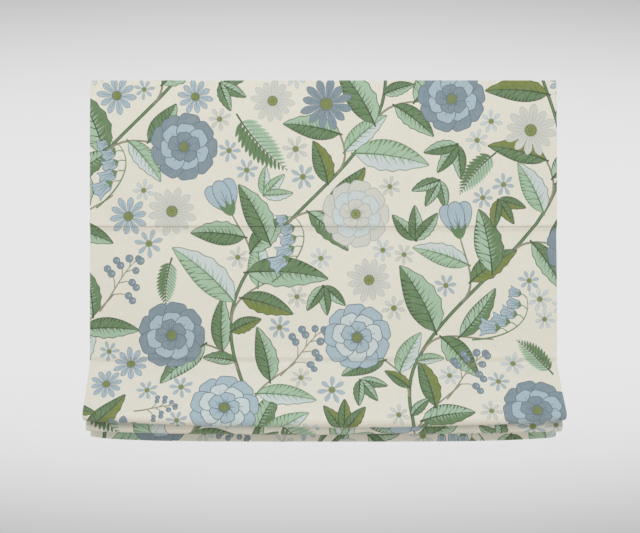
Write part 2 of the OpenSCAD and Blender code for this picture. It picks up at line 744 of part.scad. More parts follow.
rod(rod_zs[2]);  // rod_3
rod_pocket(rod_zs[2]);  // rod_pocket_3
rod_caps(rod_zs[2]);  // rod_caps_3
cord_rings(rod_zs[2]);  // cord_rings_3
rod(rod_zs[3]);  // rod_4
rod_pocket(rod_zs[3]);  // rod_pocket_4
rod_caps(rod_zs[3]);  // rod_caps_4
cord_rings(rod_zs[3]);  // cord_rings_4
cord_stops();
face_cloth_folds();
lining_folds();
hem_bar();
hem_bar_caps();
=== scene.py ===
import cmath
import math
import random

import bpy
import numpy as np
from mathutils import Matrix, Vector
from mathutils.geometry import delaunay_2d_cdt


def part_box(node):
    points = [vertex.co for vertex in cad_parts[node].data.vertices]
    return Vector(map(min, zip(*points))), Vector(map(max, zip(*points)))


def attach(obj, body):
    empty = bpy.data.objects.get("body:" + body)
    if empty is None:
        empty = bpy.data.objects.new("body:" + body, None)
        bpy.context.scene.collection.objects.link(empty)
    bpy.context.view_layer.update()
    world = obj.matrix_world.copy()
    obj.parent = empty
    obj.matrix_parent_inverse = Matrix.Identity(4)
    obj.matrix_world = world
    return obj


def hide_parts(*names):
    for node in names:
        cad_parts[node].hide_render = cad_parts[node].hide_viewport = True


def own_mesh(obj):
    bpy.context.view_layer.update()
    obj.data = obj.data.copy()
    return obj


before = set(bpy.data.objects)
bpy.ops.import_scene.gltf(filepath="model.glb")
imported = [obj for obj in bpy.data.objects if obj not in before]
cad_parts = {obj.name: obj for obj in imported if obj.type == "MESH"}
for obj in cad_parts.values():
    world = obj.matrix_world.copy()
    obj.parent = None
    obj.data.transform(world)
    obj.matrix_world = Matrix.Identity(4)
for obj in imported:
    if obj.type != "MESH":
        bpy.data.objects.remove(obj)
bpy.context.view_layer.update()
MM = 0.001
TURN = 2 * math.pi


# Camera, at the height of the middle of the picture and a little left of the blind
CLOTH_FRONT_Y = -0.0407
CAMERA_DISTANCE = 2.4
CAMERA_X = -0.091
CAMERA_Z = -0.4624
LENS_MM = 52.4
SENSOR_MM = 36.0
FRAME_SHIFT = 0.05

camera = bpy.data.objects.new("camera", bpy.data.cameras.new("camera"))
camera.location = (CAMERA_X, CLOTH_FRONT_Y - CAMERA_DISTANCE, CAMERA_Z)
camera.rotation_euler = (math.pi / 2, 0, 0)
camera.data.lens = LENS_MM
camera.data.sensor_width = SENSOR_MM
camera.data.shift_x = FRAME_SHIFT
camera.data.clip_end = 50
bpy.context.collection.objects.link(camera)
bpy.context.scene.camera = camera


# Sizes repeated from the part's source, in millimetres. f is the depth forward of the
# plane between face cloth and lining, and z is up
HALF_WIDTH = 600.0
PANEL_Y = -39.85
CLOTH_TOP = 17.0
TOP_TURN = 26.0
FACE_OUT = 0.85
LINING_OUT = 0.55
TOP_BEND = 0.3
ROD_Z = (-361.0, -705.0, -723.0, -741.0)
ROD_Y = -35.9
ROD_BEND = 12.0
ROLL_1, ROLL_1_R = (75.0, -839.254), 18.0
ROLL_2, ROLL_2_R = (42.0, -866.713), 16.0
TURN_R = 1.75
HEM_BEND = 2.0
HEM_BEND_Z = -900.15
HEM_LINE_Z = -847.0
HEM_TURN_Z = -848.0
SIDE_HEM = 29.0
POCKET_R = 3.0
POCKET_HALF = 566.0
CORD_X = (-500.0, -500.0 / 3, 500.0 / 3, 500.0)
CORD_Y = -27.7
CORD_TOP_Z = -7.5
CORD_END_Z = -746.6


# Path of the cloth from its turned-over top edge to the end of its turned-up hem
ARC_STEP, FEWEST_ARC_STEPS = math.radians(5), 8
STRAIGHT_STEP = 25.0
CREASE_STEPS = (0.35, 0.7, 1.1, 1.6, 2.3, 3.2, 4.6, 6.5, 9.0, 12.5, 17.0)
CREASE_ROOM = 60
SAME_POINT = 1e-6


def arc(middle, radius, start, end):
    """Points round a middle, from one angle to another in degrees."""
    start, end = math.radians(start), math.radians(end)
    count = max(FEWEST_ARC_STEPS, math.ceil(abs(end - start) / ARC_STEP))
    return [(middle[0] + radius * math.cos(start + (end - start) * i / count),
             middle[1] + radius * math.sin(start + (end - start) * i / count))
            for i in range(count + 1)]


def against(middle, radius, start, end):
    """Arc against the clock."""
    return arc(middle, radius, start, start + (end - start) % 360)


def with_clock(middle, radius, start, end):
    """Arc with the clock."""
    return arc(middle, radius, start, start - (start - end) % 360)


def heading_of(a, b):
    return math.degrees(math.atan2(b[1] - a[1], b[0] - a[0]))


def crossing(a, radius_a, b, radius_b):
    """Angle between the middles' line and the straight that crosses between two bends."""
    return math.degrees(math.asin((radius_a + radius_b) / math.dist(a, b)))


def folded_points():
    """The folds below the second rod line, as in the part's source."""
    bend = (ROD_BEND, ROD_Z[1])
    turn_3, turn_4 = (TURN_R, ROD_Z[2]), (TURN_R, ROD_Z[3])
    down_1 = heading_of(bend, ROLL_1) + crossing(bend, ROD_BEND, ROLL_1, ROLL_1_R)
    up_1 = heading_of(ROLL_1, turn_3) - crossing(ROLL_1, ROLL_1_R, turn_3, TURN_R)
    down_2 = heading_of(turn_3, ROLL_2) + crossing(turn_3, TURN_R, ROLL_2, ROLL_2_R)
    up_2 = heading_of(ROLL_2, turn_4) - crossing(ROLL_2, ROLL_2_R, turn_4, TURN_R)
    return (against(bend, ROD_BEND, 180, down_1 - 90)
            + with_clock(ROLL_1, ROLL_1_R, down_1 + 90, up_1 + 90)
            + against(turn_3, TURN_R, up_1 - 90, down_2 - 90)
            + with_clock(ROLL_2, ROLL_2_R, down_2 + 90, up_2 + 90)
            + against(turn_4, TURN_R, up_2 - 90, 180))


def with_steps(points, creases):
    """A path with points along its straights, closer together beside each crease."""
    done = [points[0]]
    for a, b in zip(points, points[1:]):
        length = math.dist(a, b)
        if length < SAME_POINT:
            continue
        count = math.ceil(length / STRAIGHT_STEP)
        marks = {i * length / count for i in range(1, count)}
        for at, end in ((0, a), (length, b)):
            if length > CREASE_ROOM and any(math.dist(end, c) < SAME_POINT for c in creases):
                marks |= {abs(at - s) for s in CREASE_STEPS}
        for m in sorted(marks):
            done.append((a[0] + (b[0] - a[0]) * m / length, a[1] + (b[1] - a[1]) * m / length))
        done.append(b)
    return done


def run_along(points):
    """Length of a line up to each of its points."""
    return np.concatenate([[0], np.cumsum(np.linalg.norm(np.diff(points, axis=0), axis=1))])


top_arc_z = CLOTH_TOP - FACE_OUT - TOP_BEND
crease_points = [(0.0, ROD_Z[0]), (0.0, ROD_Z[1])]
path = np.array(with_steps(
    [(-2 * TOP_BEND, CLOTH_TOP - TOP_TURN)]
    + arc((-TOP_BEND, top_arc_z), TOP_BEND, 180, 0)
    + crease_points[:1] + folded_points() + [(0.0, HEM_LINE_Z)]
    + arc((-HEM_BEND, HEM_BEND_Z), HEM_BEND, 0, -180)
    + [(-2 * HEM_BEND, HEM_TURN_Z)], crease_points))
ways = np.zeros_like(path)
ways[1:-1] = path[2:] - path[:-2]
ways[0], ways[-1] = path[1] - path[0], path[-1] - path[-2]
ways /= np.linalg.norm(ways, axis=1)[:, None]
outward = np.stack([-ways[:, 1], ways[:, 0]], axis=1)
face_line = path + FACE_OUT * outward
along = run_along(face_line)


def row_at(point):
    return int(np.argmin(np.linalg.norm(path - np.array(point), axis=1)))


TOP_ROW = row_at((0.0, top_arc_z))
along -= along[TOP_ROW]
ROD_1_ROW, ROD_2_ROW = row_at(crease_points[0]), row_at(crease_points[1])
TURN_3_ROW = row_at((0.0, ROD_Z[2]))
TURN_4_ROW = row_at((0.0, ROD_Z[3]))
HEM_LINE_ROW = row_at((0.0, HEM_LINE_Z))
ROD_1_T, ROD_2_T = along[ROD_1_ROW], along[ROD_2_ROW]
TURN_3_T, TURN_4_T = along[TURN_3_ROW], along[TURN_4_ROW]
CLOTH_END_T = along[-1]


# How the cloth leaves the plain path: a stitched crease at each rod line, a soft belly
# between the lines, slow waves along the rolls and a slack middle at the bottom
CREASE_DEPTH, CREASE_FADE = 5.0, 60.0
# Each rod line: its place, how soon the cloth swells out above it and how far its slack swells
# there, how far it stands out at the stitches, how soon it falls back below them and how soon
# it comes forward again
CREASES = ((ROD_1_T, 1.4, 3.0, 4.0, 8.5, 90.0), (ROD_2_T, 6.0, 2.4, 4.4, 9.0, 24.0))
SWELL_UP, SWELL_REACH, TOP_EASE = 8.0, 11.0, 70.0
# The belly's steady share, and its waves: strength, lengths across and along, and shift
BELLY_DEPTH, BELLY_REACH, BELLY_SHARE = 1.3, 45.0, 0.62
BELLY_WAVES = ((0.24, 143, 260, 0.0), (0.14, 71, -94, 1.7))
# Waves along the rolls: strength, length, shift, and how far the second fold's is shifted on
ROLL_WAVE = 1.3
ROLL_RIPPLES = ((1.0, 165, 1.1, 0.9), (0.5, 58, 0.0, 2.0))
SLACK_POWER = 1.25
CORNER_LIFT, CORNER_REACH = 3.0, 17.0
# Each gathered stretch: where it starts on the path, the height it hangs free from and the
# depth to its bottom, how far its middle hangs below the path and its ends ride above it,
# and how late it curves up to its ends
SLACK_STRETCHES = (
    (ROD_2_T, -741.0, 116.0, 5.0, 9.5, 2.6),
    (TURN_3_T, -751.0, 132.0, 3.0, 1.5, 2.6),
    (TURN_4_T, -741.0, 162.0, 11.0, 0.4, 4.5),
)


def hump(distance, reach):
    return 1 - np.exp(-(distance / reach) ** 2)


def stand_off(u, t):
    """How far the cloth stands forward of its path, in millimetres."""
    crease = CREASE_DEPTH * hump(np.maximum(t, 0), TOP_EASE)
    for at, above, swell, line, fall, back in CREASES:
        stitched = line / CREASE_DEPTH
        slack = swell / CREASE_DEPTH * np.exp(-((t - at + SWELL_UP) / SWELL_REACH) ** 2)
        over = stitched + (1 - stitched + slack) * hump(t - at, above)
        under = stitched * np.exp(-((t - at) / fall) ** 2) + hump(t - at, back)
        crease = crease * np.where(t < at, over, under)
    to_rods = np.minimum(np.abs(t - ROD_1_T), np.abs(t - ROD_2_T))
    flat = t <= ROD_2_T
    crease = np.where(flat, crease, crease * np.exp(-((t - ROD_2_T) / CREASE_FADE) ** 2))
    held = np.where(flat, np.minimum(to_rods, np.maximum(t, 0)), 0)
    sway = BELLY_SHARE
    for strength, wide, long, shift in BELLY_WAVES:
        sway = sway + strength * np.sin(u / wide + t / long + shift)
    belly = BELLY_DEPTH * hump(held, BELLY_REACH) * sway
    wave = np.zeros_like(t)
    for k, (a, b) in enumerate(((ROD_2_T, TURN_3_T), (TURN_3_T, TURN_4_T))):
        share = np.clip((t - a) / (b - a), 0, 1)
        ripple = sum(strength * np.sin(u / wide + shift + on * k)
                     for strength, wide, shift, on in ROLL_RIPPLES)
        wave += ROLL_WAVE * np.sin(np.pi * share) ** 2 * ripple
    return crease + belly + wave


def on_path(u, t, off):
    """Points of the cloth in metres, off millimetres from its middle plane."""
    f = np.interp(t, along, path[:, 0])
    z = np.interp(t, along, path[:, 1])
    way_f = np.interp(t, along, outward[:, 0])
    way_z = np.interp(t, along, outward[:, 1])
    proud = off + stand_off(u, t)
    f = f + proud * way_f
    z = z + proud * way_z
    across = np.minimum(np.abs(u) / HALF_WIDTH, 1)
    corner = CORNER_LIFT * np.clip((np.abs(u) - HALF_WIDTH + CORNER_REACH) / CORNER_REACH, 0, 1) ** 2
    ends = [start for start, *_ in SLACK_STRETCHES[1:]] + [np.inf]
    drop = np.zeros_like(z)
    for (start, free_z, depth, slack, ride, late), end in zip(SLACK_STRETCHES, ends):
        share = np.clip((free_z - z) / depth, 0, 1) ** SLACK_POWER * ((t > start) & (t <= end))
        drop += share * (slack - (slack + ride) * across ** late - corner)
    return np.stack([u, PANEL_Y - f, z - drop], axis=1) * MM


def face_point(u, t):
    """Where a spot of the cut face cloth lies, its side hems turned behind."""
    across = np.abs(u)
    flat = HALF_WIDTH - FACE_OUT
    bend = np.clip((across - flat) / FACE_OUT, 0, math.pi)
    x = np.where(across <= flat, across, flat + FACE_OUT * np.sin(bend))
    x = x - np.maximum(0, across - flat - math.pi * FACE_OUT)
    return on_path(np.sign(u) * x, t, FACE_OUT * np.cos(bend))


def lining_point(u, t):
    return on_path(u, t, -LINING_OUT)


NORMAL_STEP, LEAST_LENGTH = 0.05, 1e-12


def normals_of(shape, u, t):
    """Normals of a cloth surface, by small steps across and along it."""
    across = shape(u + NORMAL_STEP, t) - shape(u - NORMAL_STEP, t)
    down = shape(u, t + NORMAL_STEP) - shape(u, t - NORMAL_STEP)
    found = np.cross(down, across)
    return found / np.maximum(np.linalg.norm(found, axis=1), LEAST_LENGTH)[:, None]


# Print: fields of colour and simple shapes, in millimetres of the flat cloth before it is enlarged
# Each ink: its colour, how far it thins to the cloth and how strongly it is hatched
INKS = {
    "ground": ((221, 219, 210), 0.0, 0.0),
    "slate": ((128, 148, 160), 0.3, 0.22),
    "slate_line": ((96, 116, 130), 0.15, 0.0),
    "sky": ((168, 188, 199), 0.25, 0.12),
    "haze": ((199, 210, 212), 0.25, 0.05),
    "mint": ((164, 192, 168), 0.25, 0.1),
    "sage": ((102, 134, 93), 0.25, 0.2),
    "moss": ((66, 88, 57), 0.15, 0.0),
    "olive": ((121, 135, 64), 0.25, 0.16),
    "mist": ((204, 206, 200), 0.25, 0.06),
    "mist_line": ((170, 177, 176), 0.2, 0.0),
    "bark": ((142, 141, 118), 0.25, 0.1),
}
# Width of a printed outline, and knots of the shapes as shares of their width and length
LINE = 1.4
PETAL_HALF = ((0.16, 0.10), (0.40, 0.38), (0.50, 0.66), (0.34, 0.92))
DAISY_PETAL = ((0, 0.1), (0.10, 0.45), (0.15, 0.8), (0, 1.0), (-0.15, 0.8), (-0.10, 0.45))
LEAFLET = ((0, 0), (0.15, 0.35), (0.11, 0.75), (0, 1.0), (-0.11, 0.7), (-0.15, 0.32))
BELL_HALF = ((0.10, 0.02), (0.30, 0.20), (0.33, 0.58), (0.50, 0.98))
BELL_RIM = ((0.24, 0.90), (0.0, 1.06), (-0.24, 0.90))
BELL_CAP = ((0, -0.14), (0.15, 0.0), (0.2, 0.22), (0, 0.12), (-0.2, 0.22), (-0.15, 0.0))
BUD_CUP = ((0, -0.1), (0.17, 0.06), (0.24, 0.36), (0.08, 0.2), (0, 0.4), (-0.08, 0.2),
           (-0.24, 0.36), (-0.17, 0.06))


def smooth_loop(knots, steps):
    """Closed smooth outline through the knots."""
    outline = []
    count = len(knots)
    for i in range(count):
        a, b, c, d = (knots[(i + k) % count] for k in (-1, 0, 1, 2))
        for s in range(steps):
            f = s / steps
            outline.append(
                0.5 * (2 * b + (c - a) * f + (2 * a - 5 * b + 4 * c - d) * f * f
                       + (3 * b - a - 3 * c + d) * f ** 3)
            )
    return outline


def shaped(knots, width, length, steps):
    return smooth_loop([complex(x * width, y * length) for x, y in knots], steps)


def mirrored(half):
    return tuple((-x, y) for x, y in half[::-1])


def arch(start, lean_a, lean_b, end, steps=12):
    """Points on one smooth curve from start to end."""
    points = []
    for s in range(steps + 1):
        f = s / steps
        g = 1 - f
        points.append(
            g ** 3 * start + 3 * g * g * f * lean_a + 3 * g * f * f * lean_b
            + f ** 3 * end
        )
    return points


def headings(line):
    """Unit direction of travel at each point of a line."""
    found = []
    for i in range(len(line)):
        step = line[min(i + 1, len(line) - 1)] - line[max(i - 1, 0)]
        found.append(step / abs(step))
    return found


def brush(line, width_start, width_end):
    """Outline of a brush stroke that follows a line."""
    last = len(line) - 1
    near, far = [], []
    for i, (point, way) in enumerate(zip(line, headings(line))):
        half = (width_start + (width_end - width_start) * i / last) / 2
        near.append(point + way * 1j * half)
        far.append(point - way * 1j * half)
    return near + far[::-1]


def grown(outline, by):
    """Outline moved outwards from its own middle."""
    middle = sum(outline) / len(outline)
    return [p + (p - middle) / abs(p - middle) * by for p in outline]


def disc(middle, radius, corners):
    return [middle + cmath.rect(radius, TURN * k / corners) for k in range(corners)]


def upright(way):
    """Turn that sets a motif's +y along a direction."""
    return cmath.phase(way) - math.pi / 2


def placed(motif, at, turn):
    """A motif set down at a point of the cloth and turned."""
    spin = cmath.rect(1, turn)
    return [(ink, [p * spin + at for p in outline]) for ink, outline in motif]


def petal(length, width, fill, line, dip):
    """One petal that grows along +y: its line, its fill and three veins."""
    outline = shaped(((0, 0), *PETAL_HALF, (0, 1 - dip), *mirrored(PETAL_HALF)), width, length, 3)
    parts = [(line, grown(outline, LINE)), (fill, outline)]
    for lean in (-0.2, 0.0, 0.2):
        tip = complex(lean * width, (0.72 - abs(lean)) * length)
        parts.append((line, brush([0.24j * length, 0.6 * tip + 0.1j * length, tip], 1.7, 0.6)))
    return parts


def rosette(radius, outer, inner, line, heart):
    """Many-petalled round blossom in three rings."""
    parts = []
    rings = ((9, 1.00, 0.66, outer), (7, 0.72, 0.54, inner), (5, 0.45, 0.40, outer))
    for ring, (count, reach, width, fill) in enumerate(rings):
        for k in range(count):
            turn = TURN * (k + 0.37 * ring) / count
            size = 1 + 0.05 * math.sin(3.1 * k + ring)
            parts += placed(petal(radius * reach * size, radius * width, fill, line, 0.05), 0, turn)
    parts.append((line, disc(0, radius * 0.17, 14)))
    parts.append((heart, disc(0, radius * 0.14, 14)))
    for k in range(7):
        parts.append((line, disc(cmath.rect(radius * 0.085, TURN * k / 7), radius * 0.02, 5)))
    return parts


def daisy(radius, fill, line, heart, count=12):
    """Flat blossom with narrow petals and a dotted heart."""
    parts = []
    for k in range(count):
        length = radius * (1 + 0.07 * math.sin(2.3 * k))
        shape = shaped(DAISY_PETAL, radius, length, 2)
        vein = brush([0.3j * length, 0.75j * length], 1.1, 0.4)
        parts += placed([(line, grown(shape, 0.9)), (fill, shape), (line, vein)], 0, TURN * k / count)
    parts.append((line, disc(0, radius * 0.27, 16)))
    parts.append((heart, disc(0, radius * 0.24, 16)))
    for k in range(9):
        parts.append((line, disc(cmath.rect(radius * 0.15, 0.7 * k), radius * 0.022, 5)))
    return parts


def on_line(line, at):
    """Point of a line, by a number that counts its points."""
    i = int(at)
    return line[i] + (line[i + 1] - line[i]) * (at - i)


def leaf(length, width, bow, dark, light, line, veins=6):
    """Two-tone leaf that grows along +y, with its midrib, side veins and hatching."""
    steps = 11
    shares = [i / steps for i in range(steps + 1)]
    rib = [complex(bow * length * f * f, length * f) for f in shares]
    left, right, far_left, far_right = [], [], [], []
    for i, (f, point, way) in enumerate(zip(shares, rib, headings(rib))):
        half = width / 2 * math.sin(math.pi * f ** 0.8) ** 0.85 if 0 < i < steps else 0
        wave = 1 + 0.07 * math.cos(math.pi * i)
        left.append(point + 1j * way * half * wave)
        right.append(point - 1j * way * half)
        far_left.append(point + 1j * way * (half * wave + LINE))
        far_right.append(point - 1j * way * (half + LINE))
    parts = [(line, far_left + far_right[::-1])]
    parts.append((light, left + rib[-2:0:-1]))
    parts.append((dark, right + rib[-2:0:-1]))
    for k in range(veins):
        at = (0.14 + 0.70 * k / veins) * steps
        root = on_line(rib, at)
        j = min(int(at) + 2, steps - 1)
        parts.append((line, [root - 1.0j, root + 1.0j, rib[j] + 0.80 * (left[j] - rib[j])]))
        parts.append((line, [root - 1.2j, root + 1.2j, rib[j] + 0.88 * (right[j] - rib[j])]))
    for k in range(2 * veins):
        at = (0.13 + 0.74 * (k + 0.5) / (2 * veins)) * steps
        i = int(at)
        rise = rib[i + 1] - rib[i]
        spine, edge, far = on_line(rib, at), on_line(right, at), on_line(left, at)
        step = (right[i + 1] - right[i]) * 0.16
        deep = 0.30 + 0.07 * (k * 3 % 5)
        parts.append((line, [edge - step, edge + step, edge + deep * (spine - edge) - 0.55 * rise]))
        parts.append((dark, [spine - 0.13 * rise, spine + 0.13 * rise,
                             spine + (deep + 0.12) * (far - spine) + 0.5 * rise]))
    parts.append((line, brush([-0.05j * length] + rib, 3.4, 1.0)))
    return parts


def fern(length, bow, dark, light, line):
    """Frond with paired leaflets that shorten to the tip."""
    steps = 15
    stem = [complex(bow * length * (i / steps) ** 2, length * i / steps) for i in range(steps + 1)]
    stem_ways = headings(stem)
    parts = [(line, brush(stem, 3.2, 0.9))]
    for i in range(2, steps + 1):
        f = i / steps
        reach = 0.27 * length * math.sin(math.pi * (0.22 + 0.74 * f)) ** 1.1
        for side, fill in ((1, dark), (-1, light)):
            blade = [(fill, shaped(LEAFLET, reach, reach, 2)),
                     (line, brush([0j, 0.8j * reach], 1.1, 0.4))]
            parts += placed(blade, stem[i], upright(stem_ways[i]) + side * (1.02 - 0.32 * f))
    return parts


def bell(length, fill, line, cap):
    """One hanging bell that opens along +y, with its cap at the top."""
    outline = shaped(BELL_HALF + BELL_RIM + mirrored(BELL_HALF), length, length, 3)
    parts = [(line, grown(outline, LINE)), (fill, outline)]
    for lean in (-0.14, 0.0, 0.14):
        parts.append((line, brush([complex(lean * 0.5, 0.2) * length,
                                   complex(lean, 0.5) * length,
                                   complex(lean * 1.7, 0.84) * length], 1.2, 0.6)))
    parts.append((cap, shaped(BELL_CAP, length, length, 2)))
    return parts


def bell_stalk(length, fill, line, green):
    """Arching stalk with bells that hang from one side."""
    stem = arch(0, 0.45j * length, complex(0.18, 0.95) * length, complex(0.62, 0.86) * length, 14)
    parts = [(green, brush(stem, 3.4, 1.2))]
    for k, i in enumerate((14, 12, 10, 8, 6)):
        size = length * (0.17 + 0.028 * k)
        drop = stem[i] + complex(0.07, -0.10 - 0.012 * k) * length
        parts.append((green, brush([stem[i], (stem[i] + drop) / 2 + 0.02 * length, drop], 1.8, 1.4)))
        parts += placed(bell(size, fill, line, green), drop, math.pi + 0.28 - 0.05 * k)
    return parts


def berry_sprig(length, fill, shine, line, stalk, rng):
    """Forked sprig with round berries."""
    stem = arch(0, 0.35j * length, complex(0.12, 0.7) * length, complex(0.05, 1.0) * length, 10)
    parts = [(stalk, brush(stem, 3.0, 1.2))]
    heads = [(10, 0.0)]
    for k, i in enumerate((3, 4, 5, 6, 7, 8, 9)):
        heads.append((i, (1 if k % 2 else -1) * (0.95 - 0.05 * k)))
    for i, lean in heads:
        reach = length * (0.34 - 0.026 * i) if lean else 0
        tip = stem[i] + cmath.rect(reach, math.pi / 2 - lean)
        if lean:
            parts.append((stalk, brush([stem[i], (stem[i] + tip) / 2 + 0.03j * length, tip], 2.0, 1.2)))
        for spot in ((0, 0), (0.095, 0.02)) if i < 7 and lean else ((0, 0),):
            middle = tip + complex(*spot) * length * (1 if lean > 0 else -1)
            radius = length * rng.uniform(0.043, 0.054)
            parts.append((line, disc(middle, radius + 1.0, 14)))
            parts.append((fill, disc(middle, radius, 14)))
            parts.append((shine, disc(middle + radius * (-0.3 + 0.32j), radius * 0.3, 8)))
    return parts


def bud(length, fill, line, green):
    """Closed bud: three petals in a green cup."""
    parts = []
    for lean in (-0.34, 0.34, 0.0):
        parts += placed(petal(length, length * 0.46, fill, line, 0.0), 0, lean)
    parts.append((green, shaped(BUD_CUP, length, length, 2)))
    return parts


# Order of the blossoms along the stems, half the room each kind takes, how close to each other
# they may come as a share of that room, and the inks of each kind
HEAD_ORDER = ("rosette", "daisy", "rosette", "berries", "rosette", "bells", "bud")
HEAD_ROOM = {"rosette": 68, "daisy": 50, "berries": 52, "bells": 58, "bud": 50}
CLOSEST = 0.92
ROSETTE_INKS = (("slate", "sky"), ("sky", "haze"), ("mist", "haze"), ("slate", "sky"))
DAISY_INKS = ("mist", "slate", "sky")
SMALL_DAISY_INKS = ("haze", "sky", "mist")
LEAF_INKS = (("sage", "mint", "moss"), ("mint", "sage", "moss"), ("mint", "haze", "sage"),
             ("sage", "mint", "moss"), ("sage", "olive", "moss"))
# Trailing stems: how many, their points, where the first starts and how far apart they are,
# how they lean and sway, and how far they run past the cloth
STEM_COUNT, STEM_POINTS = 6, 80
STEM_START, STEM_PITCH = -1230, 400
STEM_LEAN, STEM_SWAY, SWAY_LENGTH, SWAY_SHIFT = 0.34, 80, 118, 1.3
STEM_SPARE = 130
# Blossoms and leaves are drawn up to these margins beyond the cloth's sides. Then come the ranges
# of a stalk's length and lean, of its leaves' lean, length and width, and of the stems' own leaves,
# with the shortest of these and the step in which they are shortened
HEAD_MARGIN, LEAF_MARGIN = 160, 120
STALK_REACH, STALK_LEAN, STALK_RISE = (105, 150), (0.8, 1.1), 25
STALK_LEAF_LEAN, STALK_LEAF_LONG, STALK_LEAF_WIDE = (0.7, 1.0), (88, 118), (36, 46)
STEM_LEAF_LEAN, STEM_LEAF_LONG, STEM_LEAF_WIDTH = (0.75, 1.05), (120, 170), (0.36, 0.44)
SHORTEST_LEAF, LEAF_STEP = 50, 12
# Gaps: how often a filler is tried, how many spots each try compares, and the room that a frond
# or a sprig, a small blossom or leaf, and the smallest blossom need
GAP_TRIES, GAP_SPOTS = 420, 40
WIDE_GAP, MIDDLE_GAP, SMALL_GAP = 44, 30, 21
ROOM_CELL, MOST_ROOM = 20, 120


class Bolt:
    """The printed length of cloth: what lies where, in drawing order."""

    def __init__(self, seed):
        self.rng = random.Random(seed)
        self.layers = {"stems": [], "leaves": [], "heads": []}
        self.cells = {}
        self.rounds = []

    def cell(self, at):
        return int(at.real // ROOM_CELL), int(at.imag // ROOM_CELL)

    def lay(self, layer, motif, at=0, turn=0.0):
        """Sets a motif down, and notes where its ink is."""
        for ink, outline in placed(motif, at, turn):
            self.layers[layer].append((ink, outline))
            for p in outline:
                self.cells.setdefault(self.cell(p), []).append(p)

    def room(self, at):
        """Distance from a point to the nearest ink."""
        column, row = self.cell(at)
        near = MOST_ROOM
        for ring in range(MOST_ROOM // ROOM_CELL + 2):
            for x in range(column - ring, column + ring + 1):
                for y in range(row - ring, row + ring + 1):
                    if max(abs(x - column), abs(y - row)) == ring:
                        near = min([near] + [abs(p - at) for p in self.cells.get((x, y), ())])
            if near < ring * ROOM_CELL:
                break
        return near

    def free_round(self, at, radius):
        return all(abs(at - other) > CLOSEST * (radius + r) for other, r in self.rounds)

    def outlines(self):
        return self.layers["stems"] + self.layers["leaves"] + self.layers["heads"]


def blossom(kind, k, rng):
    """One blossom, and how far back from its stalk's tip it is rooted."""
    radius = HEAD_ROOM[kind]
    if kind == "rosette":
        outer, inner = ROSETTE_INKS[k % len(ROSETTE_INKS)]
        return rosette(radius, outer, inner, edge_ink(outer), "olive"), 0
    if kind == "daisy":
        fill = DAISY_INKS[k % len(DAISY_INKS)]
        return daisy(radius, fill, edge_ink(fill), "olive"), 0
    if kind == "bells":
        return bell_stalk(128, "sky", "slate_line", "sage"), 42
    if kind == "berries":
        return berry_sprig(130, "slate", "sky", "slate_line", "bark", rng), 44
    return bud(68, "sky", "slate_line", "sage"), 0


def edge_ink(fill):
    return "mist_line" if fill == "mist" else "slate_line"


def leaf_inks(k):
    return LEAF_INKS[k % len(LEAF_INKS)]


def lay_stems(bolt, length):
    """Stems that climb and sway across the cloth: their points and their directions."""
    stems = []
    climb = length + 2 * STEM_SPARE
    for k in range(STEM_COUNT):
        points = []
        for i in range(STEM_POINTS):
            s = climb * i / (STEM_POINTS - 1)
            sway = STEM_SWAY * math.sin(s / SWAY_LENGTH + SWAY_SHIFT * k)
            across = STEM_START + STEM_PITCH * k + STEM_LEAN * s + sway
            points.append(complex(across, length + STEM_SPARE - s))
        bolt.lay("stems", [("moss", brush(points, 7.0, 6.0)), ("sage", brush(points, 4.2, 3.2))])
        stems.append((points, headings(points)))
    return stems


def lay_blossoms(bolt, stems, width):
    """Blossoms on stalks from each side of the stems in turn, each with two leaves on its stalk."""
    rng = bolt.rng
    count = 0
    for k, (points, ways) in enumerate(stems):
        for i in range(3 + (k % 2) * 2, STEM_POINTS - 2, 5):
            side = 1 if count % 2 else -1
            count += 1
            base, way = points[i], ways[i]
            if abs(base.real) > width / 2 + HEAD_MARGIN:
                continue
            reach = rng.uniform(*STALK_REACH)
            out = way * cmath.rect(1, side * rng.uniform(*STALK_LEAN))
            tip = base + out * reach + way * STALK_RISE
            kind = HEAD_ORDER[count % len(HEAD_ORDER)]
            radius = HEAD_ROOM[kind]
            if not bolt.free_round(tip + out * radius * 0.2, radius):
                continue
            bolt.rounds.append((tip, radius))
            stalk = arch(base, base + way * 0.45 * reach, tip - out * 0.4 * reach, tip)
            bolt.lay("stems", [("bark", brush(stalk, 4.6, 2.6))])
            head, back = blossom(kind, count, rng)
            bolt.lay("heads", head, tip - out * back, upright(out))
            for j, lean in ((4, 1), (7, -1)):
                turn = upright(stalk[j + 1] - stalk[j - 1]) + lean * rng.uniform(*STALK_LEAF_LEAN)
                long, wide = rng.uniform(*STALK_LEAF_LONG), rng.uniform(*STALK_LEAF_WIDE)
                bolt.lay("leaves", leaf(long, wide, lean * -0.16, *leaf_inks(count + j)), stalk[j], turn)


def lay_stem_leaves(bolt, stems, width):
    """Large leaves on the stems, each as long as its place has room for."""
    rng = bolt.rng
    for k, (points, ways) in enumerate(stems):
        for i in range(5, STEM_POINTS - 4, 3):
            base, way = points[i], ways[i]
            if abs(base.real) > width / 2 + LEAF_MARGIN:
                continue
            side = 1 if (i // 3 + k) % 2 else -1
            out = way * cmath.rect(1, side * rng.uniform(*STEM_LEAF_LEAN))
            size = rng.uniform(*STEM_LEAF_LONG)
            while size > SHORTEST_LEAF and bolt.room(base + out * size * 0.75) < size * 0.16:
                size -= LEAF_STEP
            if size > SHORTEST_LEAF:
                wide = size * rng.uniform(*STEM_LEAF_WIDTH)
                bolt.lay("leaves", leaf(size, wide, -0.18 * side, *leaf_inks(i + k)), base, upright(out))


